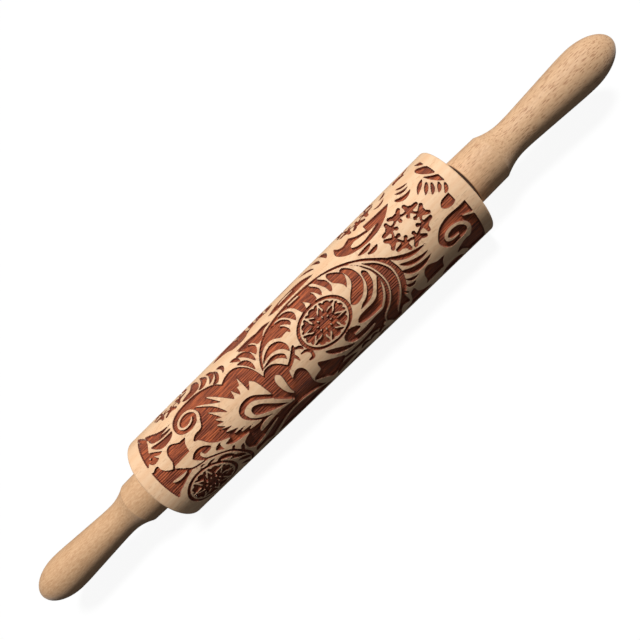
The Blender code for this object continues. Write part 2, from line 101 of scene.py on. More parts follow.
def new_material(name, roughness, metallic=0.0):
    """A Principled material, with its tree, shader and Object coordinates to build on."""
    material = bpy.data.materials.new(name)
    material.use_nodes = True
    tree = material.node_tree
    shader = tree.nodes["Principled BSDF"]
    shader.inputs["Roughness"].default_value = roughness
    shader.inputs["Metallic"].default_value = metallic
    return material, tree, shader, add(tree, "TexCoord").outputs["Object"]


def drawn_out(tree, place, along, across, turn=(0, 0, 0)):
    """Coordinates drawn out along the axle, in cells per metre along and across it."""
    inputs = {"Vector": place, "Rotation": turn, "Scale": (along, across, across)}
    return add(tree, "Mapping", inputs).outputs[0]


def noise(tree, place, detail=2.0, roughness=0.5):
    """The value of a Noise texture with cells of size one."""
    inputs = {"Vector": place, "Scale": 1.0, "Detail": detail, "Roughness": roughness}
    return add(tree, "TexNoise", inputs).outputs[0]


def ramp(tree, value, low, high, to_low=0.0, to_high=1.0):
    """A value carried smoothly from one range to another, and held at its ends."""
    values = {0: value, 1: low, 2: high, 3: to_low, 4: to_high}
    return add(tree, "MapRange", values, interpolation_type="SMOOTHSTEP").outputs[0]


def dress(tree, shader, colour, roughness):
    """Give the shader a colour and a roughness that vary over the surface."""
    tree.links.new(colour, shader.inputs["Base Color"])
    tree.links.new(roughness, shader.inputs["Roughness"])


def bump(tree, shader, height, depth, strength):
    """Small relief on the shader's normal, from a height of 0 to 1 and a depth in metres."""
    relief = add(tree, "Bump", {"Height": height, "Strength": strength, "Distance": depth})
    tree.links.new(relief.outputs[0], shader.inputs["Normal"])


def stood(name, data):
    """A new object of the scene, at the origin."""
    made = bpy.data.objects.new(name, data)
    bpy.context.scene.collection.objects.link(made)
    return made


def surface(name, points, faces, material, sharp=35.0):
    """A smooth shaded object from arrays, its faces turned outwards by the sign of their volume."""
    corners = points[faces[:, :3]]
    volume = np.einsum("ij,ij->i", corners[:, 0], np.cross(corners[:, 1], corners[:, 2])).sum()
    mesh = bpy.data.meshes.new(name)
    mesh.from_pydata(points, [], faces if volume > 0 else faces[:, ::-1])
    mesh.shade_smooth()
    mesh.set_sharp_from_angle(angle=math.radians(sharp))
    mesh.materials.append(material)
    return stood(name, mesh)


def triangles_between(here, ahead):
    """Two triangles for each cell between rows of points that close round the axle."""
    here_next, ahead_next = np.roll(here, -1, axis=-1), np.roll(ahead, -1, axis=-1)
    return np.concatenate([np.stack(corners, axis=-1).reshape(-1, 3)
                           for corners in ((here, ahead, ahead_next), (here, ahead_next, here_next))])


def turned(name, profile, material, steps_round, closed=False):
    """A profile of (x, radius) rows turned about the axle line.

    Point (i, j) is (x_i, -r_i sin t_j, axis height + r_i cos t_j). A closed profile makes a ring. An
    open one starts and ends on the axis, where its first and last rows shrink to one point each.
    """
    x, radius = np.asarray(profile, float).T
    turn = np.linspace(0, 2 * math.pi, steps_round, endpoint=False)
    points = np.stack([np.repeat(x[:, None], steps_round, axis=1), -radius[:, None] * np.sin(turn),
                       axis_height + radius[:, None] * np.cos(turn)], axis=-1)
    index = np.arange(len(x) * steps_round).reshape(len(x), steps_round)
    if not closed:
        index[0], index[-1] = index[0, 0], index[-1, 0]
    ahead = np.roll(index, -1, axis=0) if closed else index[1:]
    faces = triangles_between(index if closed else index[:-1], ahead)
    whole = (faces != np.roll(faces, -1, axis=1)).all(axis=1)
    used, faces = np.unique(faces[whole], return_inverse=True)
    return surface(name, points.reshape(-1, 3)[used], faces.reshape(-1, 3), material)


drawn_steel, tree, shader, place = new_material("drawn_steel", 0.3, metallic=1.0)
scratches = noise(tree, drawn_out(tree, place, 60, 5200), detail=3)
tone = blend_of(tree, scratches, linear(150, 152, 156), linear(196, 197, 200))
dress(tree, shader, tone, ramp(tree, scratches, 0.3, 0.7, 0.22, 0.42))
bump(tree, shader, scratches, 0.02 * MM, 0.4)

inner_radius = axle_radius - axle_chamfer
axle = turned("axle_rod_drawn", [
    (axle_low.x, 0), (axle_low.x, inner_radius), (axle_low.x + axle_chamfer, axle_radius),
    (axle_high.x - axle_chamfer, axle_radius), (axle_high.x, inner_radius), (axle_high.x, 0)],
    drawn_steel, 64)
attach(axle, "handles")
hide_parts("axle_rod")

# The bushes
# Flanged bearings moulded in natural nylon, pressed into the two ends of the barrel until their
# flanges lie flush. Plain matt plastic, a little cloudy in tone.

flange_thickness = 1.5 * MM
bush_chamfer = 0.5 * MM
sleeve_radius = 7 * MM
bush_bore = axle_radius + running_gap

nylon, tree, shader, place = new_material("nylon", 0.45)
clouds = noise(tree, drawn_out(tree, place, 300, 300), detail=3)
tone = blend_of(tree, clouds, linear(212, 208, 198), linear(236, 233, 224))
dress(tree, shader, tone, ramp(tree, clouds, 0.3, 0.7, 0.38, 0.55))
bump(tree, shader, noise(tree, drawn_out(tree, place, 2500, 2500)), 0.01 * MM, 0.3)

for name, outward in (("left_bush", -1), ("right_bush", 1)):
    bush_low, bush_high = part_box(name)
    flange_radius = (bush_high.z - bush_low.z) / 2
    bush_face = bush_high.x if outward > 0 else bush_low.x
    bush_length = bush_high.x - bush_low.x
    profile = np.array([
        (0, bush_bore), (0, flange_radius - bush_chamfer), (bush_chamfer, flange_radius),
        (flange_thickness, flange_radius), (flange_thickness, sleeve_radius),
        (bush_length - bush_chamfer, sleeve_radius), (bush_length, sleeve_radius - bush_chamfer),
        (bush_length, bush_bore)])
    bush = turned(name + "_moulded", profile * (-outward, 1) + (bush_face, 0), nylon, 96, closed=True)
    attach(bush, "barrel")
    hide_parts(name)

# The barrel
# One solid cylinder of beech, turned and sanded, and bored right through. A laser has burnt the
# ground of the ornament about a millimetre deep, toasted brown, and left the pattern standing in
# pale wood that presses into the dough. The ornament repeats twice round the barrel.

barrel_low, barrel_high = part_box("barrel")
barrel_radius = (barrel_high.z - barrel_low.z) / 2
barrel_length = barrel_high.x - barrel_low.x
barrel_middle = (barrel_low.x + barrel_high.x) / 2
cut_depth = 1.1 * MM
barrel_bore = 5.5 * MM
rim_round = 1.2 * MM
fit_gap = 0.3 * MM
facing_angle = math.radians(45)

# The ornament is drawn in millimetres on the unrolled skin: first along the barrel from its left
# end, then round it from the line that faces the camera. Its layers lie one over another.
repeats_round = 2
repeat_height = 2 * math.pi * barrel_radius / repeats_round / MM
drawing_length = 199.0
drawing_scale = barrel_length / drawing_length
band_left = 7.9
band_right = 193.2
reach = 2.0
kerf = 0.08
CUT, PALE, SHARP = True, False, True
layers = []


def curve_through(points, closed=False, per_span=6):
    """Points of a smooth curve through the given rows. A row given twice running is a corner.

    Each span is a cubic whose slope at a row is half the step from the row before to the row after.
    """
    rows = np.asarray(points, float)
    if closed:
        rows = np.vstack([rows[-1], rows, rows[0], rows[1]])
    else:
        rows = np.vstack([2 * rows[0] - rows[1], rows, 2 * rows[-1] - rows[-2]])
    before, start, end, after = rows[:-3, None], rows[1:-2, None], rows[2:-1, None], rows[3:, None]
    share = np.linspace(0, 1, per_span, endpoint=False)[None, :, None]
    bend = 2 * before - 5 * start + 4 * end - after
    twist = 3 * start - before - 3 * end + after
    spans = (2 * start + (end - before) * share + bend * share ** 2 + twist * share ** 3) / 2
    keep = np.abs(end - start)[:, 0, :2].max(axis=1) > 0
    curve = spans[keep].reshape(-1, rows.shape[1])
    return curve if closed else np.vstack([curve, rows[-2]])


def line(cut, points):
    """A stroke of changing half width: its rows are x, y and half width."""
    rows = curve_through(points)
    rows[:, 2] = np.maximum(rows[:, 2], 0)
    layers.append((cut, False, rows))


def area(cut, points):
    """A closed outline: its rows are x and y, and SHARP after them at a corner."""
    rows = np.repeat([row[:2] for row in points], [len(row) - 1 for row in points], axis=0)
    layers.append((cut, True, curve_through(rows, closed=True, per_span=4)))


def leaves(cut, *shapes):
    """Leaves: x and y of the root, the bend and the tip, the half width, and the share where it is widest.

    A blunted sine of the half width is set off to both sides of the bent middle line.
    """
    share = np.linspace(0, 1, 12)
    mid_length = 0.5
    bluntness = 0.75
    for shape in shapes:
        root, bend, tip = np.reshape(shape[:6], (3, 2))
        half_width, belly = (*shape[6:], mid_length)[:2]
        middle = (np.outer((1 - share) ** 2, root) + np.outer(2 * share * (1 - share), bend) +
                  np.outer(share ** 2, tip))
        along = np.outer(1 - share, bend - root) + np.outer(share, tip - bend)
        aside = np.stack([-along[:, 1], along[:, 0]], axis=1) / np.hypot(along[:, 0], along[:, 1])[:, None]
        stretched = share ** (math.log(mid_length) / math.log(belly))
        aside *= (half_width * np.sin(math.pi * stretched).clip(0) ** bluntness)[:, None]
        layers.append((cut, True, np.vstack([middle + aside, (middle - aside)[-2:0:-1]])))


def around(centre, radius, stretch, lean=0.0):
    """A function that gives a point round a centre, from a share of the radius and an angle."""
    def point(share, angle):
        across = stretch * radius * share * math.cos(angle + lean)
        return centre[0] + across, centre[1] + radius * share * math.sin(angle + lean)
    return point


def medallion(centre):
    """A groove round a flake of eight crowns with three knobs each, barbs between them, and eight seeds."""
    turns = np.linspace(0, 2 * math.pi, 24, endpoint=False)
    groove_radius, flake_radius, heart, stretch, lean = 10.4, 9.1, 0.52, 1.35, -0.096
    for cut, radius in ((CUT, groove_radius), (PALE, flake_radius)):
        rim = around(centre, radius, stretch)
        area(cut, [rim(1, turn) for turn in turns])
    arm = around(centre, flake_radius, stretch, lean)
    area(CUT, [arm(heart, turn) for turn in turns])
    crown = (
        (0.40, 0.22), (0.50, 0.185), (0.56, 0.165), (0.61, 0.185), (0.67, 0.245), (0.74, 0.305),
        (0.83, 0.335), (0.89, 0.36), (0.93, 0.32), (0.915, 0.245), (0.86, 0.175), (0.92, 0.10), (0.94, 0.03))
    notch = ((0.42, 0.95), (0.55, 0.8), (0.64, 0.45), (0.73, 0.1))
    spur = ((0.66, 0.15, 0.2), (0.59, 0.195, 0.26), (0.52, 0.235, 0.22), (0.46, 0.27, 0.12))
    seed = ((0.23, 0), (0.29, 0.10), (0.36, 0), (0.29, -0.10))
    for turn in turns[::3]:
        between = turn + math.pi / 8
        area(CUT, [arm(share, turn + aside) for share, aside in crown] +
             [arm(share, turn - aside) for share, aside in crown[::-1]])
        line(CUT, [(*arm(share, between), width) for share, width in notch])
        for side in (-1, 1):
            line(PALE, [(*arm(share, between + side * aside), width) for share, aside, width in spur])
        area(PALE, [arm(share, between + aside) for share, aside in seed])


def rosette(centre):
    """Eight lilies in a ring: a round foot inwards, two short barbs, and two horns outwards."""
    radius, stretch, lean = 9.3, 1.29, -0.03
    spot = around(centre, radius, stretch, lean)
    foot = ((0.42, 0.9), (0.49, 0.6), (0.62, 0.95))
    head = ((0.58, 0.10), (0.70, 0.20), (0.80, 0.24), (0.87, 0.10))
    horn = ((0.66, 0.06, 0.95), (0.83, 0.19, 1.0), (0.93, 0.27, 0.88))
    barb = ((0.64, 0.05, 0.8), (0.60, 0.24, 0.6), (0.575, 0.36, 0.5))
    for turn in np.arange(8) * math.pi / 4:
        line(CUT, [(*spot(share, turn), width) for share, width in foot])
        area(CUT, [spot(share, turn + aside) for share, aside in head] +
             [spot(share, turn - aside) for share, aside in head[::-1]])
        for side in (-1, 1):
            for limb in (horn, barb):
                line(CUT, [(*spot(share, turn + side * aside), width) for share, aside, width in limb])


# The great leaf at the left, with a flame in it, a paisley drop and its eye
area(CUT, [
    (28.8, -12.5), (29.3, -15.2), (31.1, -17.6), (34.7, -19.3), (40.7, -19.9), (46.7, -19.4), (52.7, -17.4),
    (57.1, -15.1), (60.1, -12.1, SHARP), (62.7, -13.6), (66.7, -14.3), (70.6, -13), (74.6, -8.9),
    (76.6, -4.4), (77.3, -0.8, SHARP), (79.6, -2.6), (83.6, -2.3), (86.6, 0), (88.6, 2.8, SHARP), (87, 6.1),
    (85.8, 9.1, SHARP), (88.2, 7.6), (90.6, 7.2), (92.4, 8.6), (92.9, 11.2), (92.3, 14.2), (91.4, 17.5),
    (91.6, 20.9), (93.7, 26.2), (97.7, 30), (90.7, 31), (80.7, 32), (70.7, 32), (60.8, 30), (52.8, 26.2),
    (47.7, 21.4), (47.3, 18), (49.1, 15), (53.7, 13.4), (48.7, 12.6), (44.7, 11.4), (42.5, 9.1), (46.2, 8.4),
    (41.1, 5.9), (38.1, 3.4), (36.6, 1), (35.3, -1), (33.3, -2.1), (35.7, -3.8), (39.5, -4.1), (41.1, -5.3),
    (42.4, -8.2, SHARP), (40.7, -8), (38.7, -7.2), (35.7, -6.8), (32.1, -7.5), (29.6, -9.5)])
area(PALE, [
    (42.7, -14.2, SHARP), (50.6, -7.5), (53.7, -2.5), (54.2, -0.8, SHARP), (50.7, -4), (46.6, -7.3, SHARP),
    (49.1, -3.6), (50.6, -0.9, SHARP), (47.1, -2.5, SHARP), (50, 1.2, SHARP), (45.6, -0.2, SHARP),
    (48.9, 3.2, SHARP), (45.2, 2.4, SHARP), (51.4, 4.9, SHARP), (46.5, 5.1, SHARP), (52.4, 7.6, SHARP),
    (48.7, 8.4, SHARP), (55.3, 9.2, SHARP), (50.7, 10.2, SHARP), (58.1, 11.3, SHARP), (54.6, 12.3, SHARP),
    (60.6, 13.3), (63.6, 12.8), (70.7, 11.7), (73.8, 8.8), (73.9, 3.9), (73, -1.5), (71, -4.2, SHARP),
    (69.3, -2), (68, -1.1, SHARP), (68, -4.9), (67.5, -9.6, SHARP), (66.4, -5.9), (64.8, -6.1, SHARP),
    (64.8, -3.9), (64, -2.3, SHARP), (62.6, -4.9), (61.6, -7.1, SHARP), (61.2, -4), (60.5, -2.9, SHARP),
    (57.7, -6.2), (53.6, -10.7), (49.7, -14, SHARP), (52.1, -10.6), (55.3, -6, SHARP), (51.6, -8.4),
    (46.7, -12)])
line(CUT, [
    (78.1, 13.3, 0.9), (74.6, 9.4, 1.0), (70.8, 5.7, 1.1), (66.7, 2.6, 1.25), (62.6, 2, 1.35),
    (59, 3.3, 1.25), (57.8, 6.1, 1.0), (59.8, 9.7, 0.8), (63.6, 13.1, 0.9), (67.6, 15.2, 0.9)])
area(PALE, [
    (59.1, 6.6), (60.6, 4.2), (63.7, 3.3), (67.9, 5.1), (73.2, 10), (79.3, 18.1, SHARP), (75.7, 17.5),
    (69.6, 16), (63.2, 12.3), (59.8, 9.2)])
area(CUT, [
    (61.7, 7.7), (62.5, 6), (64.7, 5.6), (67.7, 7.2), (71.1, 10.8), (76.1, 16.8, SHARP), (70.7, 14.6),
    (65.1, 11.6), (62.2, 9.5)])
leaves(PALE, (57.1, 17.8, 62.6, 14.5, 71.4, 16.8, 1.25, 0.4))
line(PALE, [(49.8, 23.9, 0.9), (55.7, 22.6, 0.8), (61.7, 20.6, 0.6), (67.6, 18.8, 0.1)])
line(PALE, [
    (58.8, 29, 1.1), (62.8, 26.5, 1.0), (66.7, 24.5, 0.7), (71.2, 22.9, 0.55), (76.7, 22.1, 0.5),
    (83.7, 23.1, 0.5), (90.7, 25.6, 0.55), (97.7, 30, 0.7)])
area(PALE, [
    (81.5, 2.4), (83.1, 4.2), (82.5, 7.8), (81.6, 11.7), (81.5, 15.4, SHARP), (79.6, 12.2), (79, 7.8),
    (79.6, 4.1)])
line(PALE, [
    (39.6, -11.3, 0.25), (38.3, -9.9, 0.45), (35.7, -9.2, 0.5), (33.1, -9.7, 0.55), (31.7, -11.4, 0.6),
    (32.2, -13.4, 0.6), (34.2, -14.9, 0.6), (36.8, -15.4, 0.6), (39.6, -14.7, 0.62), (41.8, -12.9, 0.62),
    (42.7, -10.5, 0.7), (41.9, -8.3, 0.9)])

# Leaves over the hump of the great leaf
leaves(CUT,
    (69, -18, 72.6, -17.3, 73.8, -13.8, 1.0), (72.4, -17.6, 79.1, -16, 79.7, -8.3, 1.4),
    (71, -13.9, 77.1, -12, 76.9, -5.5, 1.3))
area(CUT, [
    (75.1, -19.4), (79.6, -18.3), (82.5, -16.2), (83.8, -14), (82.9, -11.8), (81.4, -10.7, SHARP),
    (80.2, -13.3), (78, -16.4)])
area(CUT, [
    (73.5, -20.3, SHARP), (80.6, -20.5), (84.6, -20.2), (87.2, -19.7), (91.5, -20.1), (96, -18.6, SHARP),
    (91.6, -17.7), (89.8, -16.3), (87.6, -14.4), (84.9, -14.1), (83.1, -16.8), (77.6, -19.1)])

# The arch: a striped band with eight comma leaves inside it, round the medallion
area(CUT, [
    (78.5, -2.5, SHARP), (79.5, -5.1), (81.2, -7.9), (83.6, -10.8), (87.1, -13.8), (90.6, -15.9), (93.6, -17),
    (96.5, -17.8), (100.5, -18.6), (105.5, -19.2), (110.4, -19.3), (115.5, -19.1), (120.4, -18.5),
    (125.5, -17.5), (130.4, -15.9), (135.4, -13.6), (140.3, -10.7), (145.3, -7.2), (149.2, -3.6),
    (152.3, -0.6), (153.3, 2.2, SHARP), (144.3, 2.2, SHARP), (144, -0.6), (142.9, -3.3), (141.4, -6.3),
    (139.8, -8.6), (138.3, -10.3, SHARP), (136.4, -11.7), (133.4, -13.3), (130.4, -14.7), (127.4, -15.9),
    (124.1, -16.9, SHARP), (125.4, -14.9), (126.9, -12.7), (127.3, -10), (127, -8.2), (125.8, -6.8),
    (125, -7.6), (124.8, -9.5), (124.1, -11.5), (122.8, -14.4), (121.4, -16.8), (119.4, -17.5, SHARP),
    (120.3, -15.7), (121.5, -14.1), (122.4, -11.9), (122.2, -10), (121.2, -8.8), (120.6, -9.7),
    (120.1, -11.2), (119.2, -12.8), (117.9, -14.1, SHARP), (118.8, -12.1), (118.8, -10.4), (118.4, -9.2),
    (115.4, -9.2), (114.7, -10.5), (113.7, -11.9), (112.3, -13.9, SHARP), (112.9, -12.1), (112.6, -10.6),
    (111.9, -9.4), (110, -9.3), (109.3, -10.5), (108.9, -11.9), (108.1, -13.7), (106.5, -15.7),
    (104.1, -16.9), (101.5, -17.3), (98.5, -17, SHARP), (101.5, -16.7), (103.9, -15.9), (105.5, -14.6),
    (106.6, -12.8), (106.6, -11), (106, -9.6), (105.3, -8.9), (104.7, -9.8), (104.1, -11), (103, -12.7),
    (101.4, -14.7), (99.3, -15.7), (97, -16), (94, -15.9, SHARP), (97, -15.5), (99.6, -14.8), (101.4, -13.3),
    (102.8, -11.4), (102.9, -10), (102.1, -9.2), (101.4, -10), (100.1, -11.4), (98.6, -12.4),
    (96.9, -12.9, SHARP), (98.6, -11.6), (99.9, -9.8), (100.5, -7.9), (99.8, -6.8), (98.9, -8.1), (97, -8.1),
    (95.4, -7.9), (93.8, -8.8), (92.1, -10), (89.5, -10.7), (87.1, -10.4), (84.6, -9.3), (82.4, -7.3),
    (80.8, -5), (79.6, -3.2)])
line(PALE, [(105.9, -17.8, 0.1), (108, -17.7, 0.4), (110.5, -17.6, 0.48), (112.9, -17.4, 0.42)])
area(CUT, [
    (128, -13.8), (129.2, -14.6), (131.4, -12.9), (133.4, -10.9), (134.5, -8.8), (134.1, -6.7), (132.9, -4.7),
    (131.4, -3.1, SHARP), (131.4, -4.9), (130.4, -6.8), (128.8, -8.6), (128.1, -10.1), (127.9, -11.9)])
area(CUT, [
    (133.7, -10.7), (135.5, -11.2), (137.4, -9.4), (138.8, -6.9), (139.3, -3.9), (138.9, -1), (137.1, 1.6),
    (134.4, 3.9), (131.4, 5), (129, 4.9), (127.6, 3.5, SHARP), (129, 1.6), (131, -0.4), (133.3, -2.1),
    (134.9, -4.3), (135.1, -6.9), (134.6, -9.4)])
area(CUT, [
    (139.9, -2.5), (140.7, -3.8), (141.7, -3.6), (142.5, -2.2), (142.3, 0), (141.6, 2.4), (139.8, 4.8),
    (137.5, 6.7), (134.9, 7.9), (131.4, 8.3), (129.1, 8.2, SHARP), (131.4, 6.8), (134.4, 5.8), (137, 3.8),
    (139, 1)])
# The foot of the arch, run together with the sweep under the medallion and a leaf with a curl
area(CUT, [
    (144.3, 1.8, SHARP), (153.1, 1.8, SHARP), (153.8, 6.4), (153.3, 10.2), (151.8, 14.1), (149.4, 17.7),
    (147.8, 19.4), (147.9, 22.3), (147.7, 25.2), (145.1, 24.4), (144, 24.1), (142, 26.5), (140.9, 30.4),
    (137, 30.4), (135.7, 26.5), (134.3, 24.3), (132.5, 23.5), (131, 24.8), (128.2, 23.9), (125.5, 22.9),
    (120.6, 23.2), (113.6, 22.9), (109.1, 22), (108.2, 20.8), (112.6, 21.1), (118.5, 21.3), (124.5, 20.8),
    (129.1, 19.3), (129.1, 18.7), (126.5, 18.9), (121.5, 19.1), (117.6, 18.4), (115.5, 16.6), (114.5, 14.2),
    (115.2, 12.3), (117.5, 11.2), (120.5, 11.1), (123, 12.5), (123.8, 14.2), (121.7, 14.8), (119.7, 14.9),
    (119.9, 15.9), (124.4, 16.2), (131.5, 15.7), (136.4, 15.5), (138.9, 13.3), (141.4, 10.1), (143.3, 6.8),
    (144.1, 4.4)])
area(CUT, [
    (143.6, 2.9), (144.9, 2.4), (144.8, 5.9), (143.1, 8.8), (141, 11.7), (138, 14.2), (134.9, 14.6),
    (130.5, 14.5), (126.5, 13.8), (124.6, 12.7), (124.5, 11.7), (125.6, 10.5), (128.1, 9.8), (131.5, 9.7),
    (135.4, 9.6), (138, 8.7), (139.9, 6.9), (142, 4.7)])
line(PALE, [(144.2, 4.7, 0.1), (142.9, 8, 0.42), (140.6, 11.4, 0.5), (138, 13.9, 0.5), (136.4, 15.2, 0.4)])
line(PALE, [
    (139.2, -9.9, 0.35), (142.3, -7.6, 0.5), (145.3, -5, 0.46), (147.9, -2.5, 0.42), (149.8, 0.5, 0.4),
    (151, 3.9, 0.4), (150.8, 7.8, 0.4), (149.5, 11.7, 0.4), (147.3, 15.5, 0.4), (144.7, 19.1, 0.38),
    (141.9, 22.5, 0.35), (140.4, 25.2, 0.2)])
line(PALE, [
    (140, -9.3, 0.4), (142.1, -6.8, 0.42), (143.5, -4.5, 0.4), (144.9, -1.6, 0.38), (145.7, 2, 0.38),
    (145.8, 5.4, 0.36), (145.2, 8.8, 0.35), (143.2, 12.7, 0.32), (139.9, 16.5, 0.36), (136, 19.3, 0.5),
    (134.4, 21.4, 0.4), (133.8, 23.9, 0.4)])
leaves(CUT, (104.6, 10.5, 107.6, 15.4, 117.2, 19.6, 1.6))
area(CUT, [
    (91.9, 18.6), (93, 16.9), (95.6, 16.2), (97.5, 15.7), (98, 13.1), (99.1, 12), (101.6, 13.9),
    (105.2, 16.6), (109.3, 19.8, SHARP), (108.4, 21.6), (105, 23.7), (101.3, 25.8), (98.3, 26.2), (97, 23.5),
    (94.7, 21)])
# Six fins on the back of the arch
leaves(CUT,
    (152.5, -0.4, 158.2, 7.2, 169.2, 7, 1.15, 0.45), (154.4, 5.4, 159.7, 11.3, 168.3, 10, 1.1, 0.45),
    (153.3, 8.4, 158.3, 15.4, 168.2, 12.3, 1.6, 0.45), (152.4, 12.7, 154.3, 16.3, 158.5, 15.5, 0.85),
    (150.8, 15, 152.4, 18.7, 155.7, 17.1, 1.0), (148.2, 17.3, 148.7, 19.4, 150.5, 19.2, 0.6))
# The fan at the arch's left foot, and the twigs beside the medallion
area(CUT, [
    (80.8, -4.5), (82.6, -6.4), (85.2, -8), (88.5, -9), (91.6, -8.4), (93.6, -6.9), (94.8, -4.7),
    (94.8, -2.6), (93.8, -0.7, SHARP), (92.9, -2.8), (91.2, -4.5), (88.6, -5.6), (85.6, -5.8), (82.6, -5.3)])
area(CUT, [
    (79.6, -3.3), (82.1, -4.1), (85.1, -4.7), (87.6, -4.4), (89.8, -3.2), (91.3, -1.3), (90.6, 0.9, SHARP),
    (89.4, -0.9), (87.4, -2.4), (84.6, -3.1), (81.6, -3.2)])
line(CUT, [(88, 4.2, 1.0), (91.2, 2.8, 1.0), (94.3, 0.6, 0.95), (96.3, -1.4, 0.5)])
line(CUT, [(93.5, 1.6, 0.8), (94.1, 3.5, 0.65), (94.2, 5.2, 0.25)])
line(CUT, [(96.1, 0, 0.5), (98.2, 1, 0.75), (98.8, 2.5, 0.4)])
line(CUT, [(96.7, 3.6, 0.35), (99.3, 4.2, 0.65), (100.5, 6.3, 0.65), (99.7, 8.3, 0.8), (97.6, 8.4, 0.5)])

medallion((113.6, 1))
medallion((23.2, 19.8))
rosette((168.1, -3.7))
rosette((154.5, -31.2))
rosette((31, -31.2))

# The wing over the arch, with a pale leaf in it, and two small leaves under it
area(CUT, [
    (137.5, -18.9), (138.8, -23.3, SHARP), (140.5, -20.6), (142.9, -19.7), (144.9, -20.4),
    (146.8, -21.3, SHARP), (150.3, -18.2), (155.1, -16.6, SHARP), (155.2, -19.9, SHARP), (162.2, -19.4),
    (170.3, -19, SHARP), (165.7, -14.9), (160.2, -12.2), (155.2, -11.2), (149.3, -11.4), (143.3, -12.9),
    (139.4, -15.5)])
area(PALE, [
    (145, -15.8), (147.5, -16.8), (150.7, -16.3), (155.3, -15.2), (160.8, -15.1, SHARP), (155.2, -13.7),
    (149.9, -13.1), (146.3, -14.1)])
leaves(CUT,
    (143.9, -10.2, 148.8, -8.6, 152.4, -10.3, 1.0, 0.55), (147.3, -7.6, 151.2, -5.8, 154.1, -7.6, 0.95, 0.55))
# A lens and three leaves above the arch
area(CUT, [
    (96.1, -22.3, SHARP), (102.5, -24.7), (110.4, -25.3), (117.5, -24.7), (121.6, -22.7),
    (124.8, -20.8, SHARP), (118.5, -20.5), (108.5, -20.5), (99.6, -21)])
leaves(PALE, (102.5, -23.2, 107.5, -24.3, 113, -23.5, 0.5))
leaves(CUT,
    (117.5, -28.6, 122.8, -28.1, 126.6, -23.1, 1.0, 0.55), (125, -29.4, 129.9, -27.9, 130.1, -23, 1.05, 0.6),
    (129.8, -30.8, 135.3, -28.3, 134, -22.3, 1.3, 0.62))
# A bud, at the left and again at the lower right
for right, down in ((0, 0), (140.6, 24.4)):
    bud = (
        (18, -0.2), (19, -1.6), (19.2, -3.8), (19.4, -6), (20.7, -8), (22.7, -8.7), (24.7, -8.1),
        (27.2, -6.6), (29.4, -6.4), (31.5, -6.3, SHARP), (30.2, -5), (29.2, -3.4), (28.6, -0.3, SHARP),
        (24.6, -0.2), (20.9, 0))
    area(CUT, [(x + right, y + down, *sharp) for x, y, *sharp in bud])
line(CUT, [(19.7, -2, 0.5), (18.4, -0.4, 0.4), (17.1, 1, 0.5)])
# Leaves along the top of the great leaf, and the cloud over them with four pale tongues
area(CUT, [
    (38.8, -22.8), (41.7, -23.8), (44.5, -25), (45.5, -29.8, SHARP), (48.9, -26.9), (50.1, -23.2),
    (48.9, -20.6), (44.6, -20.1), (40.7, -20.9)])
area(CUT, [
    (50.9, -27.6, SHARP), (53.2, -25.5), (55.3, -22.6), (54.7, -20.2), (52.5, -18.8), (50.1, -19),
    (49.1, -20), (51.1, -21.6), (51.5, -24.4)])
leaves(CUT, (54.9, -25.2, 60.9, -20.8, 55, -17.1, 1.5, 0.52))
area(CUT, [
    (59.3, -22.2, SHARP), (61.2, -20), (61.5, -17.4), (60.4, -15.2), (58.9, -14.4), (56.5, -15.5, SHARP),
    (58.8, -17.4), (59.6, -19.8)])
leaves(CUT, (61, -21.8, 66.6, -20, 63.6, -16.2, 1.05))
area(CUT, [
    (60.6, -28.4), (66.7, -26.8), (70.6, -25.4), (73.6, -23.4), (80.7, -23.1), (85.6, -25.8), (92.5, -27),
    (97.6, -26.6), (100.5, -28.9), (94.6, -33.9), (84.6, -35.9), (72.7, -36), (64.6, -32)])
leaves(PALE,
    (76.7, -29.5, 74.5, -32.9, 77.1, -36.9, 1.0), (85.4, -26.4, 82.2, -29.9, 84.2, -34.5, 1.0),
    (89.6, -27.9, 87.6, -30.9, 90.2, -35.9, 0.9), (96.6, -27, 93.6, -29.9, 96.6, -33.9, 0.7))
# The plume against the left band: a column with two toothed leaves and a seed, and a broad leaf below
area(CUT, [
    (5.8, -30.1, SHARP), (8.8, -26.8), (12.5, -22.6), (13.4, -20.1), (13.5, -17.7), (12.8, -15.1),
    (12.2, -13.4), (13.6, -12.6), (16, -11), (18.5, -9.3, SHARP), (16.7, -8.9), (14.8, -9.6),
    (12.8, -11, SHARP), (15.4, -7.8, SHARP), (12.8, -7.1), (10.8, -7.7), (9.7, -9.2), (9.4, -9.2),
    (8.6, -8.2), (5.8, -8.3)])
area(CUT, [
    (13, -23.1, SHARP), (15.8, -21.7), (19.8, -19.2), (23.9, -17.7), (28.5, -17, SHARP), (23.9, -16.2),
    (20.2, -16.4), (23.9, -15.6), (27.4, -15.2), (27.3, -14.5), (23.9, -14.2), (20.4, -14.5), (16.8, -15.6),
    (15.1, -17.1), (14.4, -19.1), (13.4, -20.7)])
area(CUT, [
    (13.9, -15, SHARP), (16.3, -14.5), (19.9, -13.7), (23.9, -13.4), (27.8, -13.3, SHARP), (27.2, -11.9),
    (24.9, -10.5), (21.4, -10), (18.5, -10.5), (16, -12.5)])
leaves(PALE, (10.9, -10.7, 11.4, -10.6, 11.9, -10.7, 0.4))
line(PALE, [(7.6, -24.8, 0.1), (9, -23.4, 0.14), (10.2, -21.5, 0.06)])
area(CUT, [
    (6.6, -4.4), (9, -4.8), (11, -5.6), (12.4, -5.4), (12.6, -3.4), (14.3, -1.2), (17.2, 0.6), (19.6, 2.2),
    (21.6, 4.5), (23.5, 6.3), (21.3, 7.2), (18.6, 7.9), (15.1, 9.1), (11.6, 10.2), (6.6, 11.6)])
line(CUT, [(21.2, 4.5, 0.6), (23.5, 6.4, 0.5), (26.7, 7.3, 0.4), (31.6, 8.2, 0.25)])
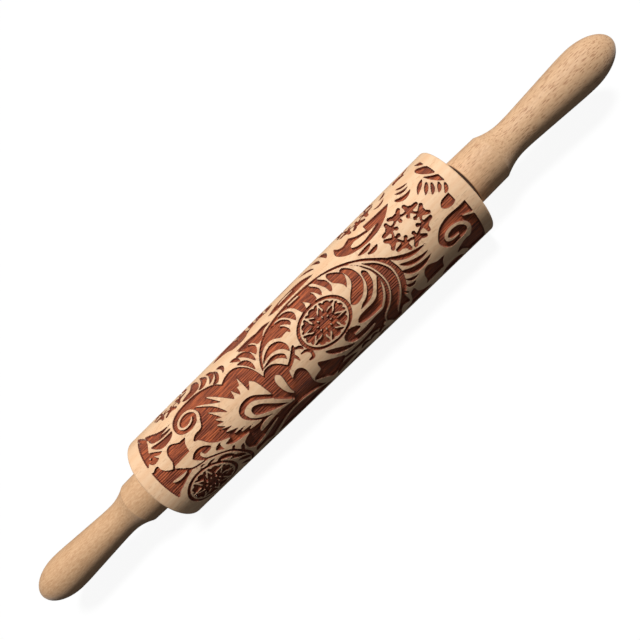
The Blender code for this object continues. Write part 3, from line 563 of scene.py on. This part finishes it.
leaves(PALE, (12, 4.6, 16.6, 6.3, 21.6, 5.3, 0.7, 0.4))
# A curl and its vine beside the left medallion
line(CUT, [(35, 5.1, 0.7), (33.2, 5.3, 0.5), (32.5, 4.5, 0.3)])
area(CUT, [
    (26.7, 3.5, SHARP), (29.3, 1.8), (32.7, 1.5), (35.6, 2.8), (37.3, 4.9), (35, 5.8), (33.2, 5.1),
    (32.1, 3.8), (30.7, 4.3), (31, 6.2), (32.1, 8), (30.2, 7.4), (28.1, 5.5)])
line(CUT, [
    (30.1, 6.9, 0.3), (33.1, 8.5, 0.5), (36.6, 10.2, 0.5), (39, 11.6, 0.5), (41.7, 13.6, 0.65),
    (43.9, 17.6, 0.85), (44.9, 22.4, 0.9), (43.8, 27.1, 0.8), (40.8, 32, 0.5)])
leaves(CUT,
    (33, 12.6, 37.6, 12, 41, 17.4, 1.35, 0.55), (37.2, 16.7, 41.7, 17.6, 43.1, 22.4, 1.4, 0.55),
    (38.2, 21.4, 42.2, 22.8, 42.4, 27.3, 1.35, 0.55), (36.8, 25.7, 40, 27.1, 39.2, 31.6, 1.3, 0.55),
    (25.5, 9.4, 27.1, 8.2, 29, 9.1, 0.4), (28.2, 10.8, 31.6, 9.8, 34.4, 10.9, 0.55),
    (42.1, 14.9, 42.9, 12.9, 44.6, 12.6, 0.7, 0.6), (45, 19.5, 45.3, 16.6, 47.6, 15.2, 0.95))
area(CUT, [(37.2, 8.2), (38.9, 6.9), (41.6, 6.5, SHARP), (40.4, 8), (40.3, 10.8, SHARP), (39, 9.6)])
# The scroll against the right band
area(CUT, [
    (198.9, 6), (189.9, 5.5), (184, 5.1), (180.1, 5.6), (177.1, 6.8), (174.7, 9), (173.3, 11.3),
    (173.5, 13.6), (174.7, 15.8), (176.8, 17.4), (178.8, 17.9), (181.1, 17.6), (184.7, 17.5), (186.7, 16.5),
    (190, 15.6), (198.9, 15.6)])
area(CUT, [
    (199, 10.7), (188, 10.7), (188.8, 13.6), (188.9, 16.5), (187.7, 19), (186.3, 20.2), (184.1, 20),
    (181.2, 20.8), (178.8, 22.3), (177.7, 23.5), (178.4, 24.1), (180.4, 24.2), (181.5, 25.7), (183.1, 28.4),
    (184.6, 30.9), (199.1, 30.9)])
line(PALE, [
    (182.7, 15.1, 0.3), (180.3, 15, 0.45), (178.1, 14.2, 0.65), (177.1, 13, 0.8), (177.6, 11.5, 0.8),
    (179.3, 10.5, 0.75), (182.1, 10.2, 0.65), (185.1, 11.1, 0.65), (187.1, 12.9, 0.75), (187.9, 15, 0.85),
    (187.4, 17.3, 0.95), (185.7, 18.8, 0.9)])
line(PALE, [(188.4, 9.7, 0.15), (190.4, 10.7, 0.4), (194, 12.7, 0.5)])
# Small leaves at the right
leaves(CUT,
    (172.6, -17.4, 175.6, -12.7, 181, -15.5, 1.2, 0.42), (175, -20.2, 177, -16.8, 181.4, -17.8, 0.75, 0.45),
    (176.7, -22.4, 178.6, -19.4, 182.6, -19.7, 0.7, 0.45), (163.9, -23.7, 167.1, -20.8, 171.1, -24.6, 0.7),
    (168.3, -26.4, 171.9, -25.6, 173.4, -29.6, 0.9), (181, -10.4, 183.6, -12.9, 187.3, -14.8, 1.0, 0.55),
    (182.9, -7.7, 185.4, -9.5, 187.6, -12.4, 0.95, 0.55), (185.1, -5.9, 187.4, -7, 188.9, -10.8, 0.9),
    (187.6, -4.6, 189.9, -5.7, 190.9, -8.4, 0.9), (189.2, -2.5, 191.7, -3.1, 192.4, -6.4, 0.9))
area(CUT, [
    (188.1, -15.4, SHARP), (190.9, -12.6), (193.9, -9.9), (193, -6.7, SHARP), (191, -8.8), (188.9, -12.7)])
area(CUT, [(188, -20.5), (189.3, -22.3), (193, -18.6), (194.9, -13.9), (192.6, -12.7), (189.2, -16.4)])
area(CUT, [(190.4, -26, SHARP), (194.1, -23.4), (195.1, -19.1), (191.8, -22.1)])
area(CUT, [(184, 0.8), (186, -1.3), (190.4, -1.7, SHARP), (190.4, 2.6, SHARP), (188.4, 3.3), (185.5, 2.7)])
# Filling leaves where the repeats meet
area(CUT, [
    (149.6, 23.3), (150, 21.4), (151.9, 20), (152.9, 20.6), (153.4, 23.7), (156, 26.6), (160.4, 29.5),
    (150.5, 31.4), (143.5, 30.4), (148.1, 28)])
area(CUT, [
    (167.2, 30.7), (168.8, 27.6), (171.9, 26.1), (175.3, 26), (178.5, 27.6), (179.5, 30.7), (173.3, 32.3)])
leaves(CUT,
    (100.2, 28.8, 105.7, 23.1, 114.6, 26, 1.9), (116.6, 26.6, 119.6, 22.9, 123, 26.7, 1.2),
    (122.2, 27, 125.5, 22.9, 127.6, 26.7, 1.2), (127.8, 28, 129.2, 23.9, 132.1, 26.2, 1.2),
    (104.7, 34, 112.7, 28.4, 121.6, 30.4, 1.5), (124.6, 31.6, 129.6, 28.4, 133.6, 30.3, 1.1),
    (46.8, 27.7, 49.8, 23.9, 53.8, 26.9, 1.6), (47.8, 32.6, 52.8, 29.6, 57.8, 32, 1.2),
    (183.9, -27.6, 185.9, -31.4, 189.9, -31.8, 1.2), (178.2, -26.4, 180.9, -31.4, 184.9, -26.4, 2.0),
    (8.8, 32, 12.8, 30, 15.8, 34, 1.2), (160.4, 34.9, 166.4, 32.5, 172.3, 34.9, 1.2),
    (176.3, 33.9, 182.3, 31.3, 190.2, 33.9, 1.5), (126.6, 35, 133.6, 31.9, 141.5, 34.9, 1.4),
    (42.7, -33, 48.7, -36, 58.7, -33.4, 1.3), (103.5, -30.5, 109.5, -33.5, 118.5, -31.9, 1.3),
    (172, -32.9, 176, -35.8, 180.9, -32.8, 1.2), (8.7, -33.1, 12.7, -36.1, 17.8, -37.1, 1.2))


def off_span(across, down, start, end):
    """How far points lie off a straight span, and the share of the span at which each is nearest."""
    run = end - start
    length = run[0] ** 2 + run[1] ** 2
    share = np.clip(((across - start[0]) * run[0] + (down - start[1]) * run[1]) / length, 0, 1)
    return np.hypot(across - start[0] - share * run[0], down - start[1] - share * run[1]), share


def distance_to_line(across, down, rows):
    """Distance to a stroke: the least over its spans, less the half width there."""
    best = np.full(across.shape, np.inf)
    for start, end in zip(rows[:-1], rows[1:]):
        off, share = off_span(across, down, start, end)
        best = np.minimum(best, off - start[2] - share * (end[2] - start[2]))
    return best


def distance_to_area(across, down, rows):
    """Distance to an outline, negative inside it, where a side ray crosses an odd number of spans."""
    best = np.full(across.shape, np.inf)
    inside = np.zeros(across.shape, bool)
    for start, end in zip(rows, np.roll(rows, -1, axis=0)):
        best = np.minimum(best, off_span(across, down, start, end)[0])
        if start[1] != end[1]:
            spans = (start[1] > down) != (end[1] > down)
            slope = (end[0] - start[0]) / (end[1] - start[1])
            inside ^= spans & (across < start[0] + (down - start[1]) * slope)
    return np.where(inside, -1, 1) * best


def distance_to_cut(across, down):
    """Distance to the edge of the burnt ground, negative in it: the layers are laid one over another."""
    edge = np.full(across.shape, reach)
    for cut, closed, rows in layers:
        margin = reach + (0 if closed else rows[:, 2].max())
        low = rows[:, :2].min(axis=0) - margin
        high = rows[:, :2].max(axis=0) + margin
        middle = (low[1] + high[1]) / 2
        near_down = (down - middle + repeat_height / 2) % repeat_height - repeat_height / 2 + middle
        near = (across > low[0]) & (across < high[0]) & (near_down > low[1]) & (near_down < high[1])
        if not near.any():
            continue
        measure = distance_to_area if closed else distance_to_line
        away = measure(across[near], near_down[near], rows)
        edge[near] = np.minimum(edge[near], away) if cut else np.maximum(edge[near], -away)
    return np.maximum(edge, np.maximum(band_left - across, across - band_right)) - kerf


# One repeat is sampled on a fine grid. The rim and the foot of every cut run where the distance
# crosses nothing and the width of the wall, as lines from one side of a grid cell to another.
cells_round = 224
fine = 2
sparse_columns, sparse_rows = 8, 4
past_band = 0.8
wall_width = 0.36
rows = cells_round // repeats_round * fine
cell = repeat_height / rows
columns = round((band_right - band_left + 2 * past_band) / cell / sparse_columns) * sparse_columns
column = np.linspace(band_left - past_band, band_right + past_band, columns + 1)
row = np.linspace(-repeat_height / 2, repeat_height / 2, rows + 1)
across, down = np.meshgrid(column, row, indexing="ij")
edge = np.empty_like(across)
edge[:, :-1] = distance_to_cut(across[:, :-1], down[:, :-1])
edge[:, -1] = edge[:, 0]


def contour(level):
    """Where the distance crosses a level: points on the sides of the grid cells, and the pairs they join.

    A point divides its side as the distances at the ends do, but keeps clear of the corners. A cell
    with four crossings joins them two by two, on the sides of its middle that the mean tells.
    """
    above = edge - level
    above[above == 0] = 1e-6
    clear = 0.12
    steps = (column[1] - column[0], row[1] - row[0])
    numbers, places, total = [], [], 0
    for ahead, lift in ((np.roll(above, -1, axis=0), (1, 0)), (np.roll(above, -1, axis=1), (0, 1))):
        crosses = above * ahead < 0
        crosses[-lift[0]:, :] &= not lift[0]
        crosses[:, -lift[1]:] &= not lift[1]
        share = np.clip(above[crosses] / (above[crosses] - ahead[crosses]), clear, 1 - clear)
        places.append(np.stack([across[crosses] + share * steps[0] * lift[0],
                                down[crosses] + share * steps[1] * lift[1]], axis=1))
        number = np.full(edge.shape, -1)
        number[crosses] = total + np.arange(crosses.sum())
        total += crosses.sum()
        numbers.append(number)
    flat, upright = numbers
    sides = np.stack([flat[:-1, :-1], upright[1:, :-1], flat[:-1, 1:], upright[:-1, :-1]], axis=-1)
    sides = sides.reshape(-1, 4)
    count = (sides >= 0).sum(axis=1)
    plain = np.sort(sides[count == 2], axis=1)[:, 2:]
    saddle = sides[count == 4]
    middle = (above[:-1, :-1] + above[1:, :-1] + above[:-1, 1:] + above[1:, 1:]).ravel()[count == 4]
    same = (middle * above[:-1, :-1].ravel()[count == 4] > 0)[:, None]
    first = np.where(same, saddle[:, [0, 1]], saddle[:, [0, 3]])
    second = np.where(same, saddle[:, [2, 3]], saddle[:, [2, 1]])
    return np.concatenate(places), np.concatenate([plain, first, second])


rim, rim_lines = contour(0.0)
foot, foot_lines = contour(-wall_width)
# Grid points that carry the bend of the skin, sparse on the flat, dense on the walls, and clear of
# the rim and the foot. Triangles between all of them keep the lines of both.
clear_of_rim, clear_of_foot, inside_wall = 0.25, 0.2, 0.12
index_across, index_down = np.indices(edge.shape)
kept = (index_across % sparse_columns == 0) & (index_down % sparse_rows == 0)
kept &= (np.abs(edge) > clear_of_rim) & (np.abs(edge + wall_width) > clear_of_foot)
kept |= (index_across % columns == 0) & (index_down % fine == 0)
kept |= (edge < -inside_wall) & (edge > inside_wall - wall_width)
flat_points = np.concatenate([rim, foot, np.stack([across[kept], down[kept]], axis=1)])
net_edge = np.concatenate([np.zeros(len(rim)), np.full(len(foot), -wall_width), edge[kept]])
lines = np.concatenate([rim_lines, foot_lines + len(rim)])
same_point = 1e-7
netted = delaunay_2d_cdt(flat_points.tolist(), lines.tolist(), [], 0, same_point)
net_points, net_faces = np.array(netted[0]), np.array(netted[2])

# The whole skin: the engraved repeats, then a turned surface round the right end, through the bore
# and round the left end. Point (x, angle) is (x, -radius sin angle, axis height + radius cos angle),
# where the radius is the barrel's, less the depth of the cut: none at the rim, all at the foot.
half = barrel_length / 2
flange_seat = flange_radius + fit_gap
flange_floor = half - flange_thickness - fit_gap
bore_start = half - 12 * MM
arc = np.linspace(0, math.pi / 2, 6)
end_x = np.append(half - rim_round * (1 - np.sin(arc)), [half, flange_floor, flange_floor, bore_start])
end_r = np.append(barrel_radius - rim_round * (1 - np.cos(arc)),
                  [flange_seat, flange_seat, barrel_bore, barrel_bore])
drawn_x = barrel_low.x + column[[-1, 0]] * drawing_scale
ring_x = np.concatenate([drawn_x[:1], barrel_middle + end_x, barrel_middle - end_x[::-1], drawn_x[1:]])
ring_r = np.concatenate([[barrel_radius], end_r, end_r[::-1], [barrel_radius]])
turns = (np.arange(cells_round) / cells_round * repeats_round - 0.5) * repeat_height
ring = np.arange(len(ring_x) * cells_round).reshape(len(ring_x), cells_round)
net_x = barrel_low.x + net_points[:, 0] * drawing_scale
net_radius = barrel_radius - cut_depth * np.clip(-net_edge / wall_width, 0, 1)
laps = np.repeat(np.arange(repeats_round), len(net_points)) * repeat_height
x = np.append(np.tile(net_x, repeats_round), np.repeat(ring_x, cells_round))
radius = np.append(np.tile(net_radius, repeats_round), np.repeat(ring_r, cells_round))
angle = np.append(np.tile(net_points[:, 1], repeats_round) + laps, np.tile(turns, len(ring_x)))
angle = angle * MM / barrel_radius + facing_angle
points = np.stack([x, -radius * np.sin(angle), axis_height + radius * np.cos(angle)], axis=-1)
to_edge = np.concatenate([np.tile(net_edge, repeats_round), np.full(ring.size, reach)])
faces = np.concatenate([net_faces + lap * len(net_points) for lap in range(repeats_round)] +
                       [triangles_between(ring[:-1], ring[1:]) + repeats_round * len(net_points)])

beech_grain = bpy.data.node_groups.new("beech_grain", "ShaderNodeTree")
beech_grain.interface.new_socket("Place", in_out="INPUT", socket_type="NodeSocketVector")
for label in ("Tone", "Flecks", "Fibres"):
    beech_grain.interface.new_socket(label, in_out="OUTPUT", socket_type="NodeSocketFloat")
tree = beech_grain
place = tree.nodes.new("NodeGroupInput").outputs["Place"]
grain_out = tree.nodes.new("NodeGroupOutput")
# Rings of the tree as long curves, a wavering tone between them, and fine fibres
ring_inputs = {"Scale": 95.0, "Distortion": 2.2, "Detail": 2.0, "Detail Scale": 0.35}
pith = add(tree, "Mapping", {"Vector": place, "Location": (0, 0.034, 0.021), "Rotation": (0, 0.05, 0.035)})
rings = add(tree, "TexWave", {"Vector": pith.outputs[0], **ring_inputs},
            wave_type="RINGS", rings_direction="X").outputs["Fac"]
clouds = noise(tree, drawn_out(tree, place, 14, 110), detail=3)
fibres = noise(tree, drawn_out(tree, place, 45, 1700), detail=3, roughness=0.6)
tone = worked(tree, "ADD", product(tree, rings, 0.35), product(tree, clouds, 0.9))
tone = worked(tree, "ADD", tone, product(tree, fibres, 0.45))
tree.links.new(ramp(tree, tone, 0.45, 1.15), grain_out.inputs["Tone"])
tree.links.new(fibres, grain_out.inputs["Fibres"])


def rays_of(tree, place, patches, patch_range, core, sizes):
    """Rays of the wood, cut across by the lathe as dark dashes: 1 on them, 0 between them.

    Each size is cells per metre along and across the axle, the radius of a dash in cells, and its
    slant. A dash is full out to the core's share of its radius. The patches thin the dashes out.
    """
    dashes = None
    for along, across, radius, slant in sizes:
        cells = drawn_out(tree, place, along, across, (0, slant, slant))
        near = add(tree, "TexVoronoi", {"Vector": cells, "Scale": 1.0, "Randomness": 1.0}).outputs["Distance"]
        mark = ramp(tree, near, radius * core, radius, 1, 0)
        marks = product(tree, mark, ramp(tree, patches, *patch_range))
        dashes = marks if dashes is None else worked(tree, "MAXIMUM", dashes, marks)
    return dashes


bands = noise(tree, drawn_out(tree, place, 26, 130))
dash_sizes = ((210, 1150, 0.34, 0.07), (330, 1500, 0.30, -0.03))
dashes = rays_of(tree, place, bands, (0.44, 0.6), 0.55, dash_sizes)
tree.links.new(dashes, grain_out.inputs["Flecks"])


def grain_of(tree, place):
    """The beech grain in a material: its tone, its flecks and its fibres."""
    made = add(tree, "Group", node_tree=beech_grain)
    tree.links.new(place, made.inputs["Place"])
    return made.outputs["Tone"], made.outputs["Flecks"], made.outputs["Fibres"]


def sheen(shader):
    """The soft shine of sanded wood at a glance."""
    shader.inputs["Sheen Weight"].default_value = 0.3
    shader.inputs["Sheen Roughness"].default_value = 0.4


engraved_beech, tree, shader, place = new_material("engraved_beech", 0.7)
tone, flecks, fibres = grain_of(tree, place)
land = blend_of(tree, tone, linear(244, 197, 153), linear(250, 210, 169))
specks = noise(tree, drawn_out(tree, place, 500, 1700), detail=3, roughness=0.7)
land = blend_of(tree, ramp(tree, specks, 0.5, 0.75, 0, 0.4), land, linear(226, 172, 126))
land = blend_of(tree, product(tree, flecks, 0.4), land, linear(196, 146, 102))
# The burnt ground: the laser's fine furrows run along the barrel, and its walls are darkened, partly as
# scorch and partly as painted shade in the pockets
distance = add(tree, "Attribute", attribute_name="edge").outputs["Fac"]
axis_point = add(tree, "Mapping", {"Vector": place, "Location": (0, 0, -axis_height)}).outputs[0]
axis_parts = add(tree, "SeparateXYZ", {"Vector": axis_point}).outputs
round_angle = worked(tree, "ARCTAN2", axis_parts["Y"], axis_parts["Z"])
furrows_round, furrow_wander = 132.0, 16.0
wander = noise(tree, drawn_out(tree, place, 30, 260))
sweep = worked(tree, "MULTIPLY_ADD", round_angle, furrows_round, product(tree, wander, furrow_wander))
passes = ramp(tree, worked(tree, "SINE", sweep), -1, 1)
rough = noise(tree, drawn_out(tree, place, 110, 1300), detail=4, roughness=0.68)
patches = noise(tree, drawn_out(tree, place, 60, 220))
regular = ramp(tree, patches, 0.38, 0.62, 0.25, 0.72)
furrows = add(tree, "Mix", {0: regular, 2: rough, 3: passes}, data_type="FLOAT").outputs[0]
ground = blend_of(tree, ramp(tree, rough, 0.3, 0.7), linear(90, 29, 12), linear(212, 108, 60))
ground = blend_of(tree, ramp(tree, passes, 0.45, 0.0, 0, 0.22), ground, linear(66, 24, 12))
ground = blend_of(tree, ramp(tree, patches, 0.35, 0.7, 0, 0.4), ground, linear(116, 50, 30))
# Painted shade: the walls of the pockets are darkened, in part the real scorch of the laser
ground_with_scorch_and_shade = blend_of(tree, ramp(tree, distance, -0.42, -0.2, 0, 0.65), ground, linear(106, 42, 22))
is_land = ramp(tree, distance, -0.09, 0.03)
dress(tree, shader, blend_of(tree, is_land, ground_with_scorch_and_shade, land), ramp(tree, is_land, 0, 1, 0.78, 0.66))
sheen(shader)
shader.inputs["Sheen Tint"].default_value = (1.0, 0.78, 0.62, 1)
fine_relief = product(tree, fibres, 0.22)
relief = add(tree, "Mix", {0: is_land, 2: furrows, 3: fine_relief}, data_type="FLOAT").outputs[0]
bump(tree, shader, relief, 0.38 * MM, 1.0)

barrel = surface("barrel_engraved", points, faces, engraved_beech, sharp=38)
edge_values = barrel.data.attributes.new("edge", "FLOAT", "POINT").data
edge_values.foreach_set("value", to_edge.astype(np.float32))
# The repeats and the turned rings share their border points, which are welded into one closed skin
weld_distance = 0.001 * MM
joined = bmesh.new()
joined.from_mesh(barrel.data)
bmesh.ops.remove_doubles(joined, verts=joined.verts, dist=weld_distance)
joined.to_mesh(barrel.data)
joined.free()
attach(barrel, "barrel")
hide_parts("barrel")

# The thrust washers
# Thin discs stamped from zinc-plated steel, tumbled so that their edges are just broken. They are
# loose on the axle, one between each bush and handle, and keep the wood from rubbing.

washer_edge = 0.15 * MM

zinc_plate, tree, shader, place = new_material("zinc_plate", 0.35, metallic=1.0)
blooms = noise(tree, drawn_out(tree, place, 700, 700), detail=4)
tone = blend_of(tree, blooms, linear(140, 142, 146), linear(188, 190, 194))
dress(tree, shader, tone, ramp(tree, blooms, 0.3, 0.7, 0.28, 0.48))
bump(tree, shader, blooms, 0.02 * MM, 0.4)

for name in ("left_washer", "right_washer"):
    low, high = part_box(name)
    outer = (high.z - low.z) / 2
    profile = [(low.x, bush_bore), (high.x, bush_bore), (high.x, outer - washer_edge),
               (high.x - washer_edge, outer), (low.x + washer_edge, outer), (low.x, outer - washer_edge)]
    washer = turned(name + "_stamped", profile, zinc_plate, 96, closed=True)
    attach(washer, "washers")
    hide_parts(name)

# The handles
# Both turned from straight-grained beech on a lathe and sanded smooth, not varnished: a short
# collar, a hollow down to the neck, a grip that swells to a rounded end. They are bored and glued
# onto the ends of the axle.

collar_base = 12.3 * MM
collar_shoulder = 11.9 * MM
collar_length = 17.3 * MM
base_edge_round = 0.8 * MM
shoulder_round = 0.9 * MM
neck = 8.7 * MM
cove_length = 13.1 * MM
bulge = 10.85 * MM
tip_length = 17.8 * MM
grip_bend = 0.18
glue_pocket = 1.5 * MM
axle_grip_depth = 45 * MM


def rounded(before, corner, after, radius, steps=6):
    """The arc that rounds a corner of a profile: its centre lies on the line that halves the corner."""
    back = (before - corner) / np.linalg.norm(before - corner)
    ahead = (after - corner) / np.linalg.norm(after - corner)
    half_angle = math.acos(back @ ahead) / 2
    centre = corner + (back + ahead) / np.linalg.norm(back + ahead) * radius / math.sin(half_angle)
    start, end = (corner + side * radius / math.tan(half_angle) - centre for side in (back, ahead))
    sweep = math.pi - 2 * half_angle
    turn = np.linspace(0, sweep, steps + 1)[:, None]
    return centre + (start * np.sin(sweep - turn) + end * np.sin(turn)) / math.sin(sweep)


def handle_profile(length):
    """Half section from the floor of the bore round to the tip.

    The cove is a parabola, the grip a straight taper that eases in and out of the neck and the
    bulge, and the tip a quarter of an ellipse.
    """
    share = np.linspace(0, 1, 25)[1:]
    cove = np.stack([collar_length + cove_length * share,
                     neck + (collar_shoulder - neck) * (1 - share) ** 2], axis=1)
    share = np.linspace(0, 1, 41)[1:]
    slope = 1 / (1 - grip_bend)
    swell = np.where(share < grip_bend, slope * share ** 2 / (2 * grip_bend),
                     np.where(share > 1 - grip_bend, 1 - slope * (1 - share) ** 2 / (2 * grip_bend),
                              slope * (share - grip_bend / 2)))
    grip_start = collar_length + cove_length
    grip = np.stack([grip_start + (length - tip_length - grip_start) * share,
                     neck + (bulge - neck) * swell], axis=1)
    turn = np.linspace(0, math.pi / 2, 33)[1:]
    tip = np.stack([length - tip_length + tip_length * np.sin(turn), bulge * np.cos(turn)], axis=1)
    base, shoulder = np.array([0, collar_base]), np.array([collar_length, collar_shoulder])
    bore_depth = axle_grip_depth + glue_pocket
    bore = np.array([(bore_depth, 0), (bore_depth, bush_bore), (0, bush_bore)])
    return np.concatenate([bore, rounded(bore[2], base, shoulder, base_edge_round),
                           rounded(base, shoulder, cove[0], shoulder_round), cove, grip, tip])


turned_beech, tree, shader, place = new_material("turned_beech", 0.66)
tone, _, fibres = grain_of(tree, place)
speckle = noise(tree, drawn_out(tree, place, 420, 1500), detail=3, roughness=0.7)
wood = blend_of(tree, ramp(tree, speckle, 0.3, 0.7), linear(198, 150, 107), linear(225, 183, 139))
wood = blend_of(tree, ramp(tree, tone, 0, 1, 0, 0.2), wood, linear(238, 194, 150))
# Long rays at a slant to the axis, thick in patches on the right handle and faint on the left one
sites = noise(tree, drawn_out(tree, place, 26, 70))
side = add(tree, "SeparateXYZ", {"Vector": place}).outputs["X"]
inner_end = 100 * MM
stroke_sizes = ((170, 1150, 0.36, 0.24), (280, 1600, 0.34, 0.18))
strokes = rays_of(tree, place, sites, (0.3, 0.6, 0.25, 1), 0.4, stroke_sizes)
strokes = product(tree, strokes, ramp(tree, side, -inner_end, inner_end, 0.2, 0.75))
wood = blend_of(tree, ramp(tree, side, -inner_end, inner_end, 0, 0.25), wood, linear(248, 207, 166))
wood = blend_of(tree, strokes, wood, linear(158, 100, 62))
# Painted shade for the gap beside the barrel: the handles' end faces next to the barrel are darkened
painted_gap_shade = ramp(tree, worked(tree, "ABSOLUTE", side), inner_end + 1.1 * MM, inner_end + 1.5 * MM, 1, 0)
wood = blend_of(tree, painted_gap_shade, wood, linear(96, 66, 44))
dress(tree, shader, wood, ramp(tree, fibres, 0.3, 0.7, 0.6, 0.74))
sheen(shader)
hollows = worked(tree, "SUBTRACT", product(tree, speckle, 0.6), strokes)
bump(tree, shader, hollows, 0.08 * MM, 0.6)

for name, outward in (("left_handle", -1), ("right_handle", 1)):
    handle_low, handle_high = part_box(name)
    handle_base = handle_low.x if outward > 0 else handle_high.x
    profile = handle_profile(handle_high.x - handle_low.x) * (outward, 1) + (handle_base, 0)
    handle = turned(name + "_turned", profile, turned_beech, 160)
    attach(handle, "handles")
    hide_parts(name)

# The stage
# A white table under one soft lamp, a little to the right of overhead. The table looks white to the
# camera, keeps the pin's shadow, and throws only a little light back up.

table_reach = 9.0
own_white = 0.93
WHITE = (1, 1, 1, 1)


def seen_straight(tree):
    """1 on rays that come from the camera, through glass too, and 0 on all others."""
    rays = add(tree, "LightPath").outputs
    return worked(tree, "MAXIMUM", rays["Is Camera Ray"], rays["Is Transmission Ray"])


paper = bpy.data.materials.new("paper")
paper.use_nodes = True
tree = paper.node_tree
lit_paper = tree.nodes["Principled BSDF"]
lit_paper.inputs["Base Color"].default_value = (0.05, 0.05, 0.05, 1)
lit_paper.inputs["Roughness"].default_value = 0.9
seen = seen_straight(tree)
white = add(tree, "Emission", {"Color": WHITE, "Strength": 1.0})
shaded = add(tree, "BsdfDiffuse", {"Color": WHITE})
seen_paper = add(tree, "MixShader", {0: own_white, 1: shaded.outputs[0], 2: white.outputs[0]})
whole = add(tree, "MixShader", {0: seen, 1: lit_paper.outputs[0], 2: seen_paper.outputs[0]})
tree.links.new(whole.outputs[0], tree.nodes["Material Output"].inputs["Surface"])

table_mesh = bpy.data.meshes.new("table")
table_corners = np.array([(-1, -1, 0), (1, -1, 0), (1, 1, 0), (-1, 1, 0)]) * table_reach
table_mesh.from_pydata(table_corners, [], [(0, 1, 2, 3)])
table_mesh.materials.append(paper)
table = stood("table", table_mesh)

studio = bpy.data.worlds.new("studio")
bpy.context.scene.world = studio
studio.use_nodes = True
tree = studio.node_tree
room_light = 0.08
strength = add(tree, "MapRange", {0: seen_straight(tree), 3: room_light, 4: 1.0}).outputs[0]
tree.links.new(strength, tree.nodes["Background"].inputs["Strength"])
tree.nodes["Background"].inputs["Color"].default_value = WHITE

lamp_data = bpy.data.lights.new("overhead", "SUN")
lamp_data.energy = 1.07 * math.pi
lamp_data.angle = math.radians(15)
lamp = stood("overhead", lamp_data)
towards = Vector((0.2, 0, 1))
lamp.matrix_world = Matrix.Translation(towards) @ towards.to_track_quat("Z", "Y").to_matrix().to_4x4()

# The camera stands off the barrel's front line and looks a little past it, with its lens shifted back
# to the pin, and is turned so that the pin rises to the right. The picture is square. The focal
# length and the shift are in its pixels, the turns in radians.
frame_pixels = 640
focal = 560.0
shift_right, shift_up = -9.62, 18.68
distance = 266.44 * MM
right_of_middle, below_axis = 36 * MM, 3 * MM
turn_along, turn_across, image_turn = -0.1034, 0.0185, 0.7726
to_pin = Vector((0, math.sin(facing_angle), -math.cos(facing_angle)))
along_axis = Vector((1, 0, 0))
across_axis = to_pin.cross(along_axis)
square = math.cos(turn_across) * to_pin + math.sin(turn_across) * across_axis
forward = math.cos(turn_along) * square + math.sin(turn_along) * along_axis
rightward = math.cos(turn_along) * along_axis - math.sin(turn_along) * square
downward = forward.cross(rightward)
eye = Vector((barrel_middle + right_of_middle, 0, axis_height)) + below_axis * across_axis - distance * to_pin
image_right = math.cos(image_turn) * rightward + math.sin(image_turn) * downward
image_up = math.sin(image_turn) * rightward - math.cos(image_turn) * downward
lens = bpy.data.cameras.new("camera")
lens.lens = lens.sensor_width * focal / frame_pixels
lens.shift_x, lens.shift_y = shift_right / frame_pixels, shift_up / frame_pixels
lens.clip_start = 10 * MM
camera = stood("camera", lens)
facing = Matrix((image_right, image_up, -forward)).transposed().to_4x4()
camera.matrix_world = Matrix.Translation(eye) @ facing
bpy.context.scene.camera = camera
bpy.context.scene.view_settings.view_transform = "Standard"
